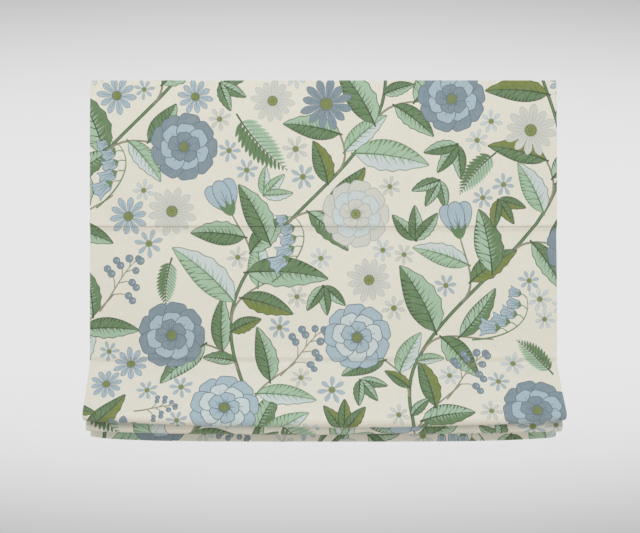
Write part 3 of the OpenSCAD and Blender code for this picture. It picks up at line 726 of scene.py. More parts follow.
def lay_fillers(bolt, width, length):
    """Fronds, sprigs, leaves and small blossoms in the gaps that are left."""
    rng = bolt.rng
    for k in range(GAP_TRIES):
        best, clear = None, 0
        for _ in range(GAP_SPOTS):
            spot = complex(rng.uniform(-width / 2 - 20, width / 2 + 20), rng.uniform(-30, length + 30))
            gap = bolt.room(spot)
            if gap > clear:
                best, clear = spot, gap
        if clear < SMALL_GAP:
            continue
        turn = rng.uniform(0, TURN)
        grow = cmath.rect(1, turn + math.pi / 2) * clear
        if clear > WIDE_GAP and k % 2 == 0:
            bolt.lay("leaves", fern(clear * 2.1, 0.2, "sage", "mint", "moss"), best - grow * 1.05, turn)
        elif clear > WIDE_GAP and k % 4 == 1:
            sprig = berry_sprig(clear * 1.7, "slate", "sky", "slate_line", "bark", rng)
            bolt.lay("heads", sprig, best - grow * 0.85, turn)
        elif clear > WIDE_GAP:
            bolt.lay("heads", daisy(clear * 0.85, "mist", "mist_line", "olive"), best, turn)
        elif clear > MIDDLE_GAP and k % 3:
            for lean in (-0.8, 0.0, 0.8):
                blade = leaf(clear * 1.75, clear * 0.66, 0.1 * lean, *leaf_inks(k), 5)
                bolt.lay("leaves", blade, best - grow * 0.75, turn + lean)
        elif clear > MIDDLE_GAP:
            bolt.lay("heads", daisy(clear * 0.95, "sky", "slate_line", "olive", 10), best, turn)
        else:
            fill = SMALL_DAISY_INKS[k % len(SMALL_DAISY_INKS)]
            bolt.lay("heads", daisy(clear * 0.92, fill, "mist_line", "olive", 7), best, turn)


def compose(width, length, seed):
    """Trailing stems with blossoms, bells, fronds and berries, y downwards along the cloth."""
    bolt = Bolt(seed)
    stems = lay_stems(bolt, length)
    lay_blossoms(bolt, stems, width)
    lay_stem_leaves(bolt, stems, width)
    lay_fillers(bolt, width, length)
    return bolt.outlines()


# Materials
def linear(colour):
    """Colour given as 0 to 255, as the light values a shader takes."""
    return [c / 255 / 12.92 if c <= 10 else ((c / 255 + 0.055) / 1.055) ** 2.4 for c in colour]


def give(tree, node, settings):
    """Gives a node its settings and its sockets by name. A socket takes a value or a link."""
    for key, value in settings.items():
        if key not in node.inputs:
            setattr(node, key, value)
        else:
            feed(tree, node.inputs[key], value)
    return node


def feed(tree, socket, value):
    if isinstance(value, bpy.types.NodeSocket):
        tree.links.new(value, socket)
    else:
        socket.default_value = value


def put(tree, kind, **settings):
    return give(tree, tree.nodes.new(kind), settings)


def sums(tree, operation, *values):
    """A Math node on values or sockets."""
    node = put(tree, "ShaderNodeMath", operation=operation)
    for socket, value in zip(node.inputs, values):
        feed(tree, socket, value)
    return node.outputs[0]


def stretched_noise(tree, place, stretch, detail=2.0):
    """Noise over a place that is stretched by a number along each axis."""
    scaled = put(tree, "ShaderNodeVectorMath", operation="MULTIPLY")
    feed(tree, scaled.inputs[0], place)
    feed(tree, scaled.inputs[1], stretch)
    noise = put(tree, "ShaderNodeTexNoise", Scale=1.0, Detail=detail, Vector=scaled.outputs[0])
    return noise.outputs["Fac"]


def toned(tree, colour, tone):
    """A colour made lighter or darker."""
    scaled = put(tree, "ShaderNodeVectorMath", operation="SCALE", Scale=tone)
    feed(tree, scaled.inputs[0], colour)
    return scaled.outputs[0]


def new_group(name, inputs, outputs):
    """A node group with sockets of these names and kinds: the group, its inputs and its last node."""
    group = bpy.data.node_groups.new(name, "ShaderNodeTree")
    for socket, (kind, value) in inputs.items():
        group.interface.new_socket(name=socket, in_out="INPUT", socket_type=kind).default_value = value
    for socket, kind in outputs.items():
        group.interface.new_socket(name=socket, in_out="OUTPUT", socket_type=kind)
    return group, group.nodes.new("NodeGroupInput").outputs, group.nodes.new("NodeGroupOutput")


FLOAT, VECTOR, COLOUR = "NodeSocketFloat", "NodeSocketVector", "NodeSocketColor"
GREY, ORIGIN = (0.5, 0.5, 0.5, 1.0), (0.0, 0.0, 0.0)
# Noise along and across the threads, in patches, and in the grain, the pools and the hatching of ink
WEFT_NOISE, WARP_NOISE, PATCH_NOISE = (26.0, 950.0, 1.0), (950.0, 26.0, 1.0), (14.0, 14.0, 1.0)
GRAIN_NOISE, POOL_NOISE, STRAY_NOISE = (420.0, 900.0, 1.0), (60.0, 45.0, 1.0), (90.0, 35.0, 1.0)
MARK_NOISE, FINE_GRAIN = (38.0, 38.0, 38.0), (900.0, 900.0, 900.0)
HATCH_LINES, HATCH_STRAY = 210.0, 2.4


def weave_group():
    """Plain weave with thick and thin threads: tone, roughness and height."""
    group, given, result = new_group(
        "plain weave",
        {"Place": (VECTOR, ORIGIN), "Threads": (FLOAT, 900.0), "Slub": (FLOAT, 0.1),
         "Patch": (FLOAT, 0.04)},
        {"Tone": FLOAT, "Roughness": FLOAT, "Height": FLOAT})
    axes = put(group, "ShaderNodeSeparateXYZ", Vector=given["Place"])
    waves = []
    for axis in (0, 1):
        turns = sums(group, "MULTIPLY", axes.outputs[axis], given["Threads"])
        waves.append(sums(group, "SINE", sums(group, "MULTIPLY", turns, TURN)))
    crossing_threads = sums(group, "MULTIPLY", *waves)
    weft = stretched_noise(group, given["Place"], WEFT_NOISE)
    warp = stretched_noise(group, given["Place"], WARP_NOISE)
    patch = stretched_noise(group, given["Place"], PATCH_NOISE, 3.0)
    slub = sums(group, "SUBTRACT", sums(group, "ADD", weft, warp), 1.0)
    tone = sums(group, "MULTIPLY_ADD", slub, given["Slub"], 1.0)
    cloudy = sums(group, "MULTIPLY", sums(group, "SUBTRACT", patch, 0.5), given["Patch"])
    height = sums(group, "MULTIPLY_ADD", crossing_threads, 0.35, 0.5)
    give(group, result, {"Tone": sums(group, "ADD", tone, cloudy),
                         "Roughness": sums(group, "MULTIPLY_ADD", slub, 0.12, 0.86),
                         "Height": sums(group, "MULTIPLY_ADD", slub, 0.3, height)})
    return group


def ink_group():
    """Printed ink on woven cloth: it thins along raised threads and pools a little unevenly."""
    group, given, result = new_group(
        "printed ink",
        {"Ink": (COLOUR, GREY), "Cloth": (COLOUR, GREY), "Place": (VECTOR, ORIGIN), "Tone": (FLOAT, 1.0),
         "Thin": (FLOAT, 0.2), "Hatch": (FLOAT, 0.0)},
        {"Colour": COLOUR})
    grain = stretched_noise(group, given["Place"], GRAIN_NOISE, 1.0)
    pool = stretched_noise(group, given["Place"], POOL_NOISE, 4.0)
    worn = sums(group, "MULTIPLY", sums(group, "SUBTRACT", grain, 0.35), 1.6)
    worn = sums(group, "ADD", worn, sums(group, "SUBTRACT", pool, 0.5))
    share = put(group, "ShaderNodeMath", operation="MULTIPLY", use_clamp=True)
    feed(group, share.inputs[0], worn)
    feed(group, share.inputs[1], given["Thin"])
    blend = put(group, "ShaderNodeMix", data_type="RGBA", Factor=share.outputs[0])
    feed(group, blend.inputs[6], given["Ink"])
    feed(group, blend.inputs[7], given["Cloth"])
    axes = put(group, "ShaderNodeSeparateXYZ", Vector=given["Place"])
    stray = sums(group, "MULTIPLY", stretched_noise(group, given["Place"], STRAY_NOISE), HATCH_STRAY)
    turns = sums(group, "MULTIPLY_ADD", axes.outputs[0], HATCH_LINES, stray)
    line = sums(group, "SINE", sums(group, "MULTIPLY", turns, TURN))
    stroke = sums(group, "MULTIPLY_ADD", line, 0.5, 0.5)
    stroke = sums(group, "MULTIPLY", sums(group, "MULTIPLY", stroke, stroke), given["Hatch"])
    stroke = sums(group, "MULTIPLY", stroke, sums(group, "ADD", pool, 0.2))
    tone = sums(group, "SUBTRACT", given["Tone"], stroke)
    give(group, result, {"Colour": toned(group, blend.outputs[2], tone)})
    return group


def finish_group():
    """Rigid finish: fine grain that may run along one axis, with handling marks."""
    group, given, result = new_group(
        "fine finish",
        {"Colour": (COLOUR, GREY), "Grain": (VECTOR, FINE_GRAIN), "Uneven": (FLOAT, 0.05),
         "Smooth": (FLOAT, 0.3), "Rough": (FLOAT, 0.5)},
        {"Colour": COLOUR, "Roughness": FLOAT, "Height": FLOAT})
    place = put(group, "ShaderNodeTexCoord").outputs["Object"]
    fine = sums(group, "MULTIPLY", stretched_noise(group, place, given["Grain"], 3.0), 0.6)
    marks = sums(group, "MULTIPLY", stretched_noise(group, place, MARK_NOISE, 5.0), 0.4)
    mixed = sums(group, "ADD", fine, marks)
    tone = sums(group, "MULTIPLY_ADD", sums(group, "SUBTRACT", mixed, 0.5), given["Uneven"], 1.0)
    span = sums(group, "SUBTRACT", given["Rough"], given["Smooth"])
    give(group, result, {"Colour": toned(group, given["Colour"], tone),
                         "Roughness": sums(group, "MULTIPLY_ADD", mixed, span, given["Smooth"]),
                         "Height": mixed})
    return group


WEAVE, INK, FINISH = weave_group(), ink_group(), finish_group()
CLOTH_RELIEF, FINISH_RELIEF = 0.0004, 0.0002


def opaque(colour):
    return (*linear(colour), 1.0)


def blank_material(name):
    """A material with only its shader: the material, its tree and the shader."""
    material = bpy.data.materials.new(name)
    material.use_nodes = True
    tree = material.node_tree
    tree.nodes.clear()
    shader = put(tree, "ShaderNodeBsdfPrincipled")
    put(tree, "ShaderNodeOutputMaterial", Surface=shader.outputs[0])
    return material, tree, shader


def relief(tree, height, distance, strength):
    return put(tree, "ShaderNodeBump", Strength=strength, Distance=distance, Height=height).outputs[0]


def cloth_material(name, colour, threads=900.0, slub=0.1, patch=0.04, thin=0.0, hatch=0.0, sheen=0.12,
                   bump=0.3, by_cut=True):
    """Woven cloth of one colour, or a printed ink on the ground cloth where thin is above zero."""
    material, tree, shader = blank_material(name)
    if by_cut:
        place = put(tree, "ShaderNodeAttribute", attribute_name="cut").outputs["Vector"]
    else:
        place = put(tree, "ShaderNodeTexCoord").outputs["Object"]
    weave = put(tree, "ShaderNodeGroup", node_tree=WEAVE, Place=place, Threads=threads, Slub=slub,
                Patch=patch).outputs
    ink = put(tree, "ShaderNodeGroup", node_tree=INK, Ink=opaque(colour), Cloth=opaque(INKS["ground"][0]),
              Place=place, Tone=weave["Tone"], Thin=thin, Hatch=hatch).outputs
    give(tree, shader, {"Base Color": ink["Colour"], "Roughness": weave["Roughness"],
                        "Normal": relief(tree, weave["Height"], CLOTH_RELIEF, bump),
                        "Sheen Weight": sheen, "Sheen Roughness": 0.6, "Specular IOR Level": 0.25})
    return material


def finish_material(name, colour, smooth, rough, grain=FINE_GRAIN, uneven=0.05, metallic=0.0, bump=0.1,
                    coat=0.0):
    """Rigid finish from the fine finish group."""
    material, tree, shader = blank_material(name)
    finish = put(tree, "ShaderNodeGroup", node_tree=FINISH, Colour=opaque(colour), Grain=grain,
                 Uneven=uneven, Smooth=smooth, Rough=rough).outputs
    give(tree, shader, {"Base Color": finish["Colour"], "Roughness": finish["Roughness"],
                        "Normal": relief(tree, finish["Height"], FINISH_RELIEF, bump),
                        "Metallic": metallic, "Specular IOR Level": 0.5, "Coat Weight": coat})
    return material


# Meshes
def make_piece(name, points, faces, materials, picks=None, normals=None, cut=None):
    """A mesh object from points in metres, with its materials and its place on the cut cloth."""
    mesh = bpy.data.meshes.new(name)
    mesh.from_pydata([tuple(p) for p in points], [], faces)
    for material in materials:
        mesh.materials.append(material)
    if picks is not None:
        mesh.polygons.foreach_set("material_index", picks)
    mesh.polygons.foreach_set("use_smooth", [True] * len(mesh.polygons))
    if cut is not None:
        place = mesh.attributes.new("cut", "FLOAT_VECTOR", "POINT")
        flat = np.zeros((len(cut), 3), np.float32)
        flat[:, :2] = cut
        place.data.foreach_set("vector", flat.ravel())
        layer = mesh.uv_layers.new(name="OFBake", do_init=False)
        low, high = np.min(cut, axis=0), np.max(cut, axis=0)
        spread = (np.array(cut) - low) / (high - low)
        corners = np.zeros(len(mesh.loops), np.int32)
        mesh.loops.foreach_get("vertex_index", corners)
        layer.uv.foreach_set("vector", spread[corners].astype(np.float32).ravel())
    mesh.validate()
    if normals is not None:
        mesh.normals_split_custom_set_from_vertices([tuple(n) for n in normals])
    piece = bpy.data.objects.new(name, mesh)
    bpy.context.collection.objects.link(piece)
    return piece


def grid_faces(count, wide):
    """Faces between the points of rows that are each so many points wide."""
    return [(i * wide + k, i * wide + k + 1, (i + 1) * wide + k + 1, (i + 1) * wide + k)
            for i in range(count - 1) for k in range(wide - 1)]


def tubes(lines, radius, sides):
    """Closed tubes along lines: their points and their faces."""
    points, faces = [], []
    for line in lines:
        line = np.asarray(line, float)
        ways_on = np.gradient(line, axis=0)
        ways_on /= np.linalg.norm(ways_on, axis=1)[:, None]
        up = np.array([0.0, 0.0, 1.0]) if abs(ways_on[0][2]) < 0.8 else np.array([0.0, 1.0, 0.0])
        first = len(points)
        for point, way in zip(line, ways_on):
            side = np.cross(way, up)
            side /= np.linalg.norm(side)
            top = np.cross(side, way)
            for k in range(sides):
                a = TURN * k / sides
                points.append(point + radius * (math.cos(a) * side + math.sin(a) * top))
        rings = len(line)
        for i in range(rings - 1):
            for k in range(sides):
                a, b = first + i * sides + k, first + i * sides + (k + 1) % sides
                faces.append((a, b, b + sides, a + sides))
        faces.append(tuple(first + k for k in range(sides))[::-1])
        faces.append(tuple(first + (rings - 1) * sides + k for k in range(sides)))
    return points, faces


# Printed face cloth: the print's outlines are cut into the flat pattern, and the pattern is then hung
PRINT_SCALE = 1.3
PRINT_SEED = 11
COLUMN_STEP = 40.0
EDGE_STEPS = 6
CUT_HALF = HALF_WIDTH - FACE_OUT + math.pi * FACE_OUT + SIDE_HEM
SMALL_FIELD = 60.0
CUT_CLOSE = 1e-4
LINING_COLUMNS = 61


def columns():
    """Lines down the cut cloth: evenly across, and close together round the side edges."""
    inner = HALF_WIDTH - FACE_OUT
    count = round(2 * inner / COLUMN_STEP)
    across = [-inner + 2 * inner * i / count for i in range(count + 1)]
    edge = [inner + math.pi * FACE_OUT * i / EDGE_STEPS for i in range(1, EDGE_STEPS + 1)]
    return sorted(across + edge + [-e for e in edge])


def triangles(loops, lines):
    """Cuts the cloth into triangles along closed loops and lines: their corners, cells and middles."""
    points, edges = [], []
    for shape, closed in [(loop, True) for loop in loops] + [(line, False) for line in lines]:
        first = len(points)
        points.extend(Vector((p.real, -p.imag)) for p in shape)
        edges += [(i, i + 1) for i in range(first, len(points) - 1)]
        if closed:
            edges.append((len(points) - 1, first))
    spots, _, cells, *_ = delaunay_2d_cdt(points, edges, [], 0, CUT_CLOSE, False)
    spots = np.array([(s[0], -s[1]) for s in spots])
    return spots, cells, np.array([spots[cell].mean(axis=0) for cell in cells])


def field_area(shape):
    return abs(sum((a.conjugate() * b).imag for a, b in zip(shape, shape[1:] + shape[:1]))) / 2


def colour_edges(spots, cells, inks):
    """Edges between fields of different ink."""
    seen = {}
    for cell, ink in zip(cells, inks):
        for a, b in zip(cell, cell[1:] + cell[:1]):
            seen.setdefault((min(a, b), max(a, b)), []).append(ink)
    corner = [complex(*s) for s in spots]
    return [[corner[a], corner[b]] for (a, b), sides in seen.items()
            if len(sides) == 2 and sides[0] != sides[1]]


def inside(shape, spots):
    """Which of the spots lie in a field."""
    found = np.zeros(len(spots), bool)
    x, y = spots[:, 0], spots[:, 1]
    for a, b in zip(shape, shape[1:] + shape[:1]):
        if a.imag == b.imag:
            continue
        reach = (a.imag > y) != (b.imag > y)
        found ^= reach & (x < (b.real - a.real) * (y - a.imag) / (b.imag - a.imag) + a.real)
    return found


def inks_at(spots, fields, names):
    """The last drawn field's ink at each spot."""
    order = np.argsort(spots[:, 1])
    sorted_y = spots[order, 1]
    picks = np.zeros(len(spots), int)
    for shape, name in zip(fields, names):
        downs = [p.imag for p in shape]
        acrosses = [p.real for p in shape]
        low, high = np.searchsorted(sorted_y, [min(downs), max(downs)])
        near = order[low:high]
        across = spots[near, 0]
        near = near[(across >= min(acrosses)) & (across <= max(acrosses))]
        if len(near):
            picks[near[inside(shape, spots[near])]] = name
    return picks


def hang_face_cloth(name, first, last, inks, outlines, quiet=()):
    """One stretch of the printed cloth between two rows of its path, without fine print where quiet."""
    low, high = along[first], along[last]
    order = {ink: i for i, ink in enumerate(inks)}
    fields = [[complex(-CUT_HALF, high), complex(CUT_HALF, high),
               complex(CUT_HALF, low), complex(-CUT_HALF, low)]]
    names = [order["ground"]]
    for ink, shape in outlines:
        top, bottom = min(p.imag for p in shape), max(p.imag for p in shape)
        hidden = any(a < top and bottom < b for a, b in quiet)
        if bottom > low and top < high and not (hidden and field_area(shape) < SMALL_FIELD):
            fields.append(shape)
            names.append(order[ink])
    # The fields are cut first, to find the edges between inks
    spots, cells, middles = triangles(fields, [])
    drawn = (np.abs(middles[:, 0]) < CUT_HALF) & (middles[:, 1] > low) & (middles[:, 1] < high)
    edges = colour_edges(spots, [cell for cell, keep in zip(cells, drawn) if keep],
                         inks_at(middles[drawn], fields, names).tolist())
    # The cloth is then cut along its rows, its columns and those edges
    rows = [[complex(-CUT_HALF, along[row]), complex(CUT_HALF, along[row])]
            for row in range(first + 1, last)]
    downs = [[complex(u, low), complex(u, high)] for u in columns()]
    spots, cells, middles = triangles(fields[:1], rows + downs + edges)
    picks = inks_at(middles, fields, names)
    # The top turn-over has no side hems
    kept = ~((middles[:, 1] < 0) & (np.abs(middles[:, 0]) > HALF_WIDTH - FACE_OUT))
    faces = [tuple(cell) for cell, keep in zip(cells, kept) if keep]
    used = np.unique(np.concatenate(faces))
    place = np.zeros(len(spots), int)
    place[used] = np.arange(len(used))
    faces = [tuple(int(i) for i in place[list(cell)]) for cell in faces]
    u, t = spots[used, 0], spots[used, 1]
    return make_piece(name, face_point(u, t), faces, list(inks.values()), picks[kept].tolist(),
                      normals_of(face_point, u, t), np.stack([u, t], axis=1) * MM)


def hang_lining(name, first, last, material, half_width):
    """One stretch of the plain lining between two rows of the path."""
    rows = along[first:last + 1]
    across = np.linspace(-half_width, half_width, LINING_COLUMNS)
    u, t = (grid.ravel() for grid in np.meshgrid(across, rows))
    return make_piece(name, lining_point(u, t), grid_faces(len(rows), LINING_COLUMNS), [material], None,
                      -normals_of(lining_point, u, t), np.stack([u, t], axis=1) * MM)


# Face cloth
PRINT_SPARE = 40
# Stretches inside the folds, where fine lines of the print are left out
INSIDE_FOLDS = ((ROD_2_T + 235, TURN_3_T + 110), (TURN_3_T + 190, TURN_4_T + 110))
ink_materials = {}
for ink, (colour, thin, hatch) in INKS.items():
    patch = 0.1 if thin else 0.04
    ink_materials[ink] = cloth_material("print_" + ink, colour, slub=0.12, patch=patch, thin=thin,
                                        hatch=hatch)
print_width, print_length = (2 * CUT_HALF) / PRINT_SCALE, (CLOTH_END_T + PRINT_SPARE) / PRINT_SCALE
drawn_print = compose(print_width, print_length, PRINT_SEED)
outlines = [(ink, [p * PRINT_SCALE for p in shape]) for ink, shape in drawn_print]

last_row = len(along) - 1
face_upper = hang_face_cloth("face_cloth_upper_panel", 0, ROD_1_ROW, ink_materials, outlines)
face_middle = hang_face_cloth("face_cloth_middle_panel", ROD_1_ROW, ROD_2_ROW, ink_materials, outlines)
face_folds = hang_face_cloth("face_cloth_gathered_folds", ROD_2_ROW, last_row, ink_materials, outlines,
                             INSIDE_FOLDS)

# Lining
lining_material = cloth_material("lining_sateen", (226, 222, 212), threads=1300.0, slub=0.05,
                                 patch=0.03, sheen=0.2, bump=0.2)
lining_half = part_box("lining_upper")[1][0] / MM
lining_upper = hang_lining("lining_upper_panel", TOP_ROW, ROD_1_ROW, lining_material, lining_half)
lining_middle = hang_lining("lining_middle_panel", ROD_1_ROW, ROD_2_ROW, lining_material, lining_half)
lining_folds = hang_lining("lining_gathered_folds", ROD_2_ROW, HEM_LINE_ROW, lining_material,
                           lining_half)

for piece, node, body, slot_name in (
    (face_upper, "face_cloth_upper", "headrail", "face_cloth"),
    (face_middle, "face_cloth_middle", "upper_rod", "face_cloth"),
    (face_folds, "face_cloth_folds", "stack", "face_cloth"),
    (lining_upper, "lining_upper", "headrail", "lining"),
    (lining_middle, "lining_middle", "upper_rod", "lining"),
    (lining_folds, "lining_folds", "stack", "lining"),
):
    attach(piece, body)
    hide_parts(node)


def shorten(upper, middle):
    """Gives a piece of the upper panel and one of the middle panel each its own copy of its mesh."""
    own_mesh(upper)
    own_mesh(middle)


shorten(face_upper, face_middle)
shorten(lining_upper, lining_middle)


# Machine stitches along the rod lines, and hand stitches that hold the lining to the side hems
STITCH_PITCH, STITCH_LONG, STITCH_R = 3.4, 2.5, 0.22
STITCH_BELOW, STITCH_MARGIN = 0.7, 6
SLIP_PITCH, SLIP_R, SLIP_START = 11.0, 0.2, 30.0
THREAD_SIDES = 5
# Four points of each stitch: places along it, and how far it stands off the cloth
STITCH_POINTS, STITCH_OFF = (-1.0, -0.6, 0.6, 1.0), (-0.2, 0.05, 0.05, -0.2)
SLIP_DOWN, SLIP_ACROSS, SLIP_OFF = (-1.4, -1.0, 1.0, 1.4), (-1.6, -1.1, 1.9, 2.4), (0.5, 1.1, 1.15, 0.7)
thread_material = cloth_material("sewing_thread", (186, 182, 168), threads=2200.0, slub=0.1,
                                 by_cut=False, bump=0.2)


def sewn_piece(name, body, x, t, off, radius):
    """Stitches of four points each, laid on the hung cloth."""
    points, faces = tubes(on_path(x, t, off).reshape(-1, 4, 3), radius * MM, THREAD_SIDES)
    piece = make_piece(name, points, faces, [thread_material])
    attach(piece, body)
    return piece


def stitch_row(name, rod, body):
    """Machine stitches that lie just below the crease of a rod line."""
    middles = np.arange(-HALF_WIDTH + STITCH_MARGIN, HALF_WIDTH - STITCH_MARGIN, STITCH_PITCH)
    x = (middles[:, None] + STITCH_LONG / 2 * np.array(STITCH_POINTS)).ravel()
    t = np.full_like(x, CREASES[rod][0] + STITCH_BELOW)
    off = FACE_OUT + np.tile(STITCH_OFF, len(middles))
    return sewn_piece(name, body, x, t, off, STITCH_R)


def slip_stitches(name, first, last, body):
    """Slanted hand stitches from the lining's edge to each side hem."""
    middles = np.repeat(np.arange(first + SLIP_PITCH, last - SLIP_PITCH / 2, SLIP_PITCH), 2)
    t = (middles[:, None] + np.array(SLIP_DOWN)).ravel()
    side = np.repeat(np.tile((-1.0, 1.0), len(middles) // 2), 4)
    x = side * (lining_half + np.tile(SLIP_ACROSS, len(middles)))
    return sewn_piece(name, body, x, t, -np.tile(SLIP_OFF, len(middles)), SLIP_R)


stitch_row("rod_line_1_stitches", 0, "upper_rod")
stitch_row("rod_line_2_stitches", 1, "stack")
upper_slips = slip_stitches("slip_stitches_upper_panel", SLIP_START, ROD_1_T, "headrail")
middle_slips = slip_stitches("slip_stitches_middle_panel", ROD_1_T, ROD_2_T, "upper_rod")
slip_stitches("slip_stitches_gathered_folds", ROD_2_T, along[HEM_LINE_ROW], "stack")
shorten(upper_slips, middle_slips)


# Rod pockets: a woven tape folded round each rod, its two edges sewn to the lining at the rod line
TAPE_STEP, TAPE_T, TAPE_LIFT = 6.0, 0.3, 0.1
# Degrees from the opening to where the tape starts round the rod, and steps round it and along the web
TAPE_OPEN, TAPE_TURNS, WEB_STEPS = 8, 32, 4
PUCKER, PUCKER_LENGTH = 0.12, 5.3
pocket_material = cloth_material("pocket_tape", (226, 224, 214), threads=1100.0, slub=0.12,
                                 patch=0.02, bump=0.5)


def hang_pocket(rod, body):
    """Tape that leaves the lining, goes round the rod and comes back to the lining."""
    z0 = ROD_Z[rod]
    sewn_y = PANEL_Y + LINING_OUT + TAPE_LIFT - (CREASES[rod][3] if rod < len(CREASES) else 0.0)
    ring = []
    for i in range(TAPE_TURNS + 1):
        turn = math.radians(TAPE_OPEN + (360 - 2 * TAPE_OPEN) * i / TAPE_TURNS)
        ring.append((ROD_Y - POCKET_R * math.cos(turn), z0 + POCKET_R * math.sin(turn)))
    web = [sewn_y + (ring[0][0] - sewn_y) * i / WEB_STEPS for i in range(WEB_STEPS)]
    section = np.array([(y, z0 + TAPE_T) for y in web] + ring + [(y, z0 - TAPE_T) for y in web[::-1]])
    lengths = run_along(section)
    across = np.arange(-POCKET_HALF, POCKET_HALF + SAME_POINT, TAPE_STEP)
    x, s = (grid.ravel() for grid in np.meshgrid(across, lengths, indexing="ij"))
    laid = np.tile(section, (len(across), 1))
    pucker = PUCKER * np.sin(x / PUCKER_LENGTH + s) * np.clip((laid[:, 0] - sewn_y) / POCKET_R, 0, 1)
    points = np.stack([x, laid[:, 0], laid[:, 1] + pucker], axis=1) * MM
    piece = make_piece(f"rod_{rod + 1}_pocket_tape", points, grid_faces(len(across), len(section)),
                       [pocket_material], cut=np.stack([x, s], axis=1) * MM)
    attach(piece, body)
    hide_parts(f"rod_pocket_{rod + 1}")


for rod, body in enumerate(("upper_rod", "stack", "stack", "stack")):
    hang_pocket(rod, body)


# Lift cords: three strands laid round each other
STRANDS, STRAND_PITCH, STRAND_STEPS = 3, 7.0, 6
STRAND_LAY, STRAND_R, STRAND_SIDES = 0.3, 0.32, 5
CORD_LONG = CORD_TOP_Z - CORD_END_Z
CORD_POINTS = int(CORD_LONG / STRAND_PITCH * STRAND_STEPS)
cord_material = cloth_material("lift_cord_polyester", (232, 231, 226), threads=1800.0, slub=0.08,
                               by_cut=False, bump=0.4)


def strand(x, start):
    """One strand of the cord at x, by the share of a turn at which it starts."""
    line = []
    for i in range(CORD_POINTS + 1):
        turn = TURN * (i / STRAND_STEPS + start)
        line.append(((x + STRAND_LAY * math.cos(turn)) * MM, (CORD_Y + STRAND_LAY * math.sin(turn)) * MM,
                     (CORD_TOP_Z - CORD_LONG * i / CORD_POINTS) * MM))
    return line


for k, x in enumerate(CORD_X):
    strands = [strand(x, s / STRANDS) for s in range(STRANDS)]
    points, faces = tubes(strands, STRAND_R * MM, STRAND_SIDES)
    cord = make_piece(f"lift_cord_{k + 1}_strands", points, faces, [cord_material])
    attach(cord, "headrail")
    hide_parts(f"lift_cord_{k + 1}")
    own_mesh(cord)


# Finishes of the rigid pieces
MOULDED = (1400.0, 1400.0, 1400.0)
FINISHES = (
    (finish_material("white_powder_coat", (236, 236, 234), 0.35, 0.5, uneven=0.04, bump=0.25),
     ["headrail"]),
    (finish_material("zinc_plated_steel", (178, 181, 186), 0.25, 0.45, (60.0, 2400.0, 60.0), 0.16,
                     metallic=1.0, bump=0.08),
     ["bracket_left", "bracket_centre", "bracket_right", "bracket_rivets", "drive_shaft"]),
    (finish_material("tempered_spring_steel", (128, 130, 134), 0.25, 0.4, (80.0, 80.0, 1800.0), 0.14,
                     metallic=1.0, bump=0.06),
     ["bracket_clips", "brake_spring"]),
    (finish_material("extruded_aluminium", (196, 198, 200), 0.28, 0.42, (30.0, 2200.0, 2200.0), 0.12,
                     metallic=1.0, bump=0.08),
     ["hem_bar"]),
    (finish_material("moulded_white_plastic", (232, 232, 229), 0.32, 0.48, MOULDED, 0.04, bump=0.18),
     ["end_cap", "winder_case", "winder_cover", "hem_bar_caps", "cord_stops", "idle_bush",
      *(f"rod_caps_{k}" for k in range(1, 5)), *(f"cord_cradle_{k}" for k in range(1, 5))]),
    (finish_material("moulded_grey_plastic", (190, 193, 196), 0.3, 0.46, MOULDED, 0.06, bump=0.18),
     ["output_hub", "chain_wheel", *(f"cord_drum_{k}" for k in range(1, 5))]),
    (finish_material("clear_ring_plastic", (226, 230, 231), 0.12, 0.24, (500.0, 500.0, 500.0), 0.03,
                     bump=0.04, coat=0.4),
     [f"cord_rings_{k}" for k in range(1, 5)]),
    (finish_material("fibreglass_rod", (224, 227, 215), 0.3, 0.5, (14.0, 2600.0, 2600.0), 0.14,
                     bump=0.2),
     [f"rod_{k}" for k in range(1, 5)]),
    (cloth_material("touch_tape_pile", (232, 232, 228), threads=500.0, slub=0.2, patch=0.05,
                    by_cut=False, bump=0.9),
     ["hook_tape", "loop_tape"]),
    (cloth_material("wound_cord_polyester", (230, 229, 223), threads=1800.0, slub=0.1,
                    by_cut=False, bump=0.5),
     ["wound_cord"]),
)
for material, nodes in FINISHES:
    for name in nodes:
        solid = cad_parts[name]
        if not solid.material_slots:
            solid.data.materials.append(material)
        for held in solid.material_slots:
            held.material = material


# Floor
FLOOR_Z, FLOOR_HALF, FLOOR_BACK = -2.4, 4.0, 2.1
floor_material, floor_tree, floor_shader = blank_material("pale_floor")
give(floor_tree, floor_shader, {"Roughness": 0.9, "Base Color": opaque((224, 219, 210))})
floor = make_piece("floor", [(-FLOOR_HALF, -FLOOR_HALF, FLOOR_Z), (FLOOR_HALF, -FLOOR_HALF, FLOOR_Z),
                             (FLOOR_HALF, FLOOR_BACK, FLOOR_Z), (-FLOOR_HALF, FLOOR_BACK, FLOOR_Z)],
                   [(0, 1, 2, 3)], [floor_material])


# Light from the room, a little warmer and weaker from below, and the backdrop that the camera sees, with
# painted shade that darkens it towards the top, the bottom and the sides
ROOM_LIGHT = ((0.42, (0.49, 0.465, 0.425)), (0.58, (0.6, 0.597, 0.59)))
# Painted shade on the backdrop: its grey by distance from the middle of the view, darker towards the top,
# the bottom and the sides
PAINTED_FALLOFF_GREYS = ((0.0, 230), (0.12, 230), (0.18, 227), (0.21, 223), (0.235, 217), (0.256, 210),
                  (0.276, 201), (0.296, 192), (0.4, 185))
PAINTED_SIDE_FALLOFF = 0.27


def ramp(tree, at, stops):
    """A colour ramp: stops of a place and a colour."""
    node = put(tree, "ShaderNodeValToRGB", Fac=at)
    elements = node.color_ramp.elements
    while len(elements) < len(stops):
        elements.new(0.5)
    for element, (position, colour) in zip(elements, stops):
        element.position = position
        element.color = (*colour, 1.0)
    return node.outputs[0]


def background(tree, colour):
    return put(tree, "ShaderNodeBackground", Strength=1.0, Color=colour).outputs[0]


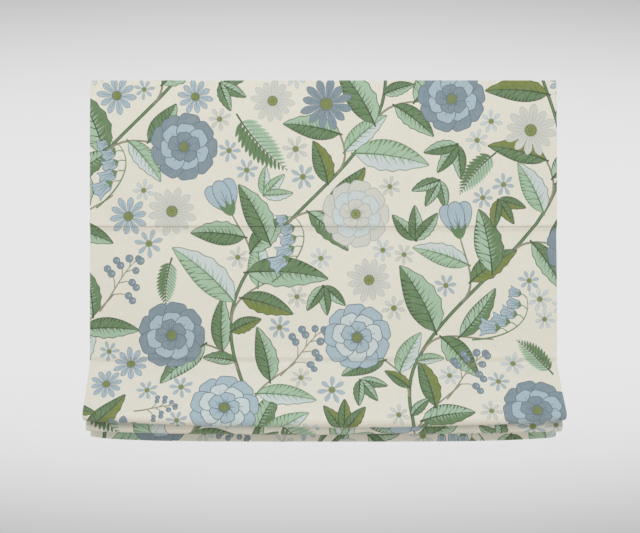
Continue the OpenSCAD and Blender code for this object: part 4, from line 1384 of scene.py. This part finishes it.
world = bpy.data.worlds.new("studio")
bpy.context.scene.world = world
world.use_nodes = True
sky = world.node_tree
sky.nodes.clear()
direction = put(sky, "ShaderNodeSeparateXYZ", Vector=put(sky, "ShaderNodeTexCoord").outputs["Generated"])
sideways = sums(sky, "MULTIPLY", direction.outputs[0], direction.outputs[0])
upward = direction.outputs[2]
# Painted shade: the backdrop the camera sees darkens away from the middle of the view
from_middle = sums(sky, "MULTIPLY_ADD", sideways, PAINTED_SIDE_FALLOFF, sums(sky, "ABSOLUTE", upward))
backdrop = ramp(sky, from_middle, [(at, linear((grey, grey, grey))) for at, grey in PAINTED_FALLOFF_GREYS])
room_light = ramp(sky, sums(sky, "MULTIPLY_ADD", upward, 0.5, 0.5), ROOM_LIGHT)
rays = put(sky, "ShaderNodeLightPath").outputs
bent_rays = sums(sky, "MAXIMUM", rays["Is Glossy Ray"], rays["Is Transmission Ray"])
either = put(sky, "ShaderNodeMixShader")
feed(sky, either.inputs[0], sums(sky, "MAXIMUM", rays["Is Camera Ray"], bent_rays))
feed(sky, either.inputs[1], background(sky, room_light))
feed(sky, either.inputs[2], background(sky, backdrop))
put(sky, "ShaderNodeOutputWorld", Surface=either.outputs[0])


# Lamps: name, place, size, watts and colour
BLIND_MIDDLE = Vector((0.0, -0.04, -0.44))
LAMPS = (
    ("key_light", (-0.45, -2.7, 1.6), (2.0, 1.4), 39.5, (1.0, 0.995, 0.985)),
    ("fill_light", (0.7, -3.2, -1.1), (1.8, 1.0), 20, (1.0, 1.0, 1.0)),
    ("back_light", (0.6, 2.4, 1.2), (2.0, 1.6), 40, (1.0, 1.0, 1.0)),
)
for name, place, size, watts, colour in LAMPS:
    lamp = bpy.data.lights.new(name, "AREA")
    lamp.shape = "RECTANGLE"
    lamp.size, lamp.size_y = size
    lamp.energy = watts
    lamp.color = colour
    holder = bpy.data.objects.new(name, lamp)
    holder.location = place
    holder.rotation_euler = (BLIND_MIDDLE - Vector(place)).to_track_quat("-Z", "Y").to_euler()
    bpy.context.collection.objects.link(holder)

bpy.context.scene.view_settings.view_transform = "Standard"
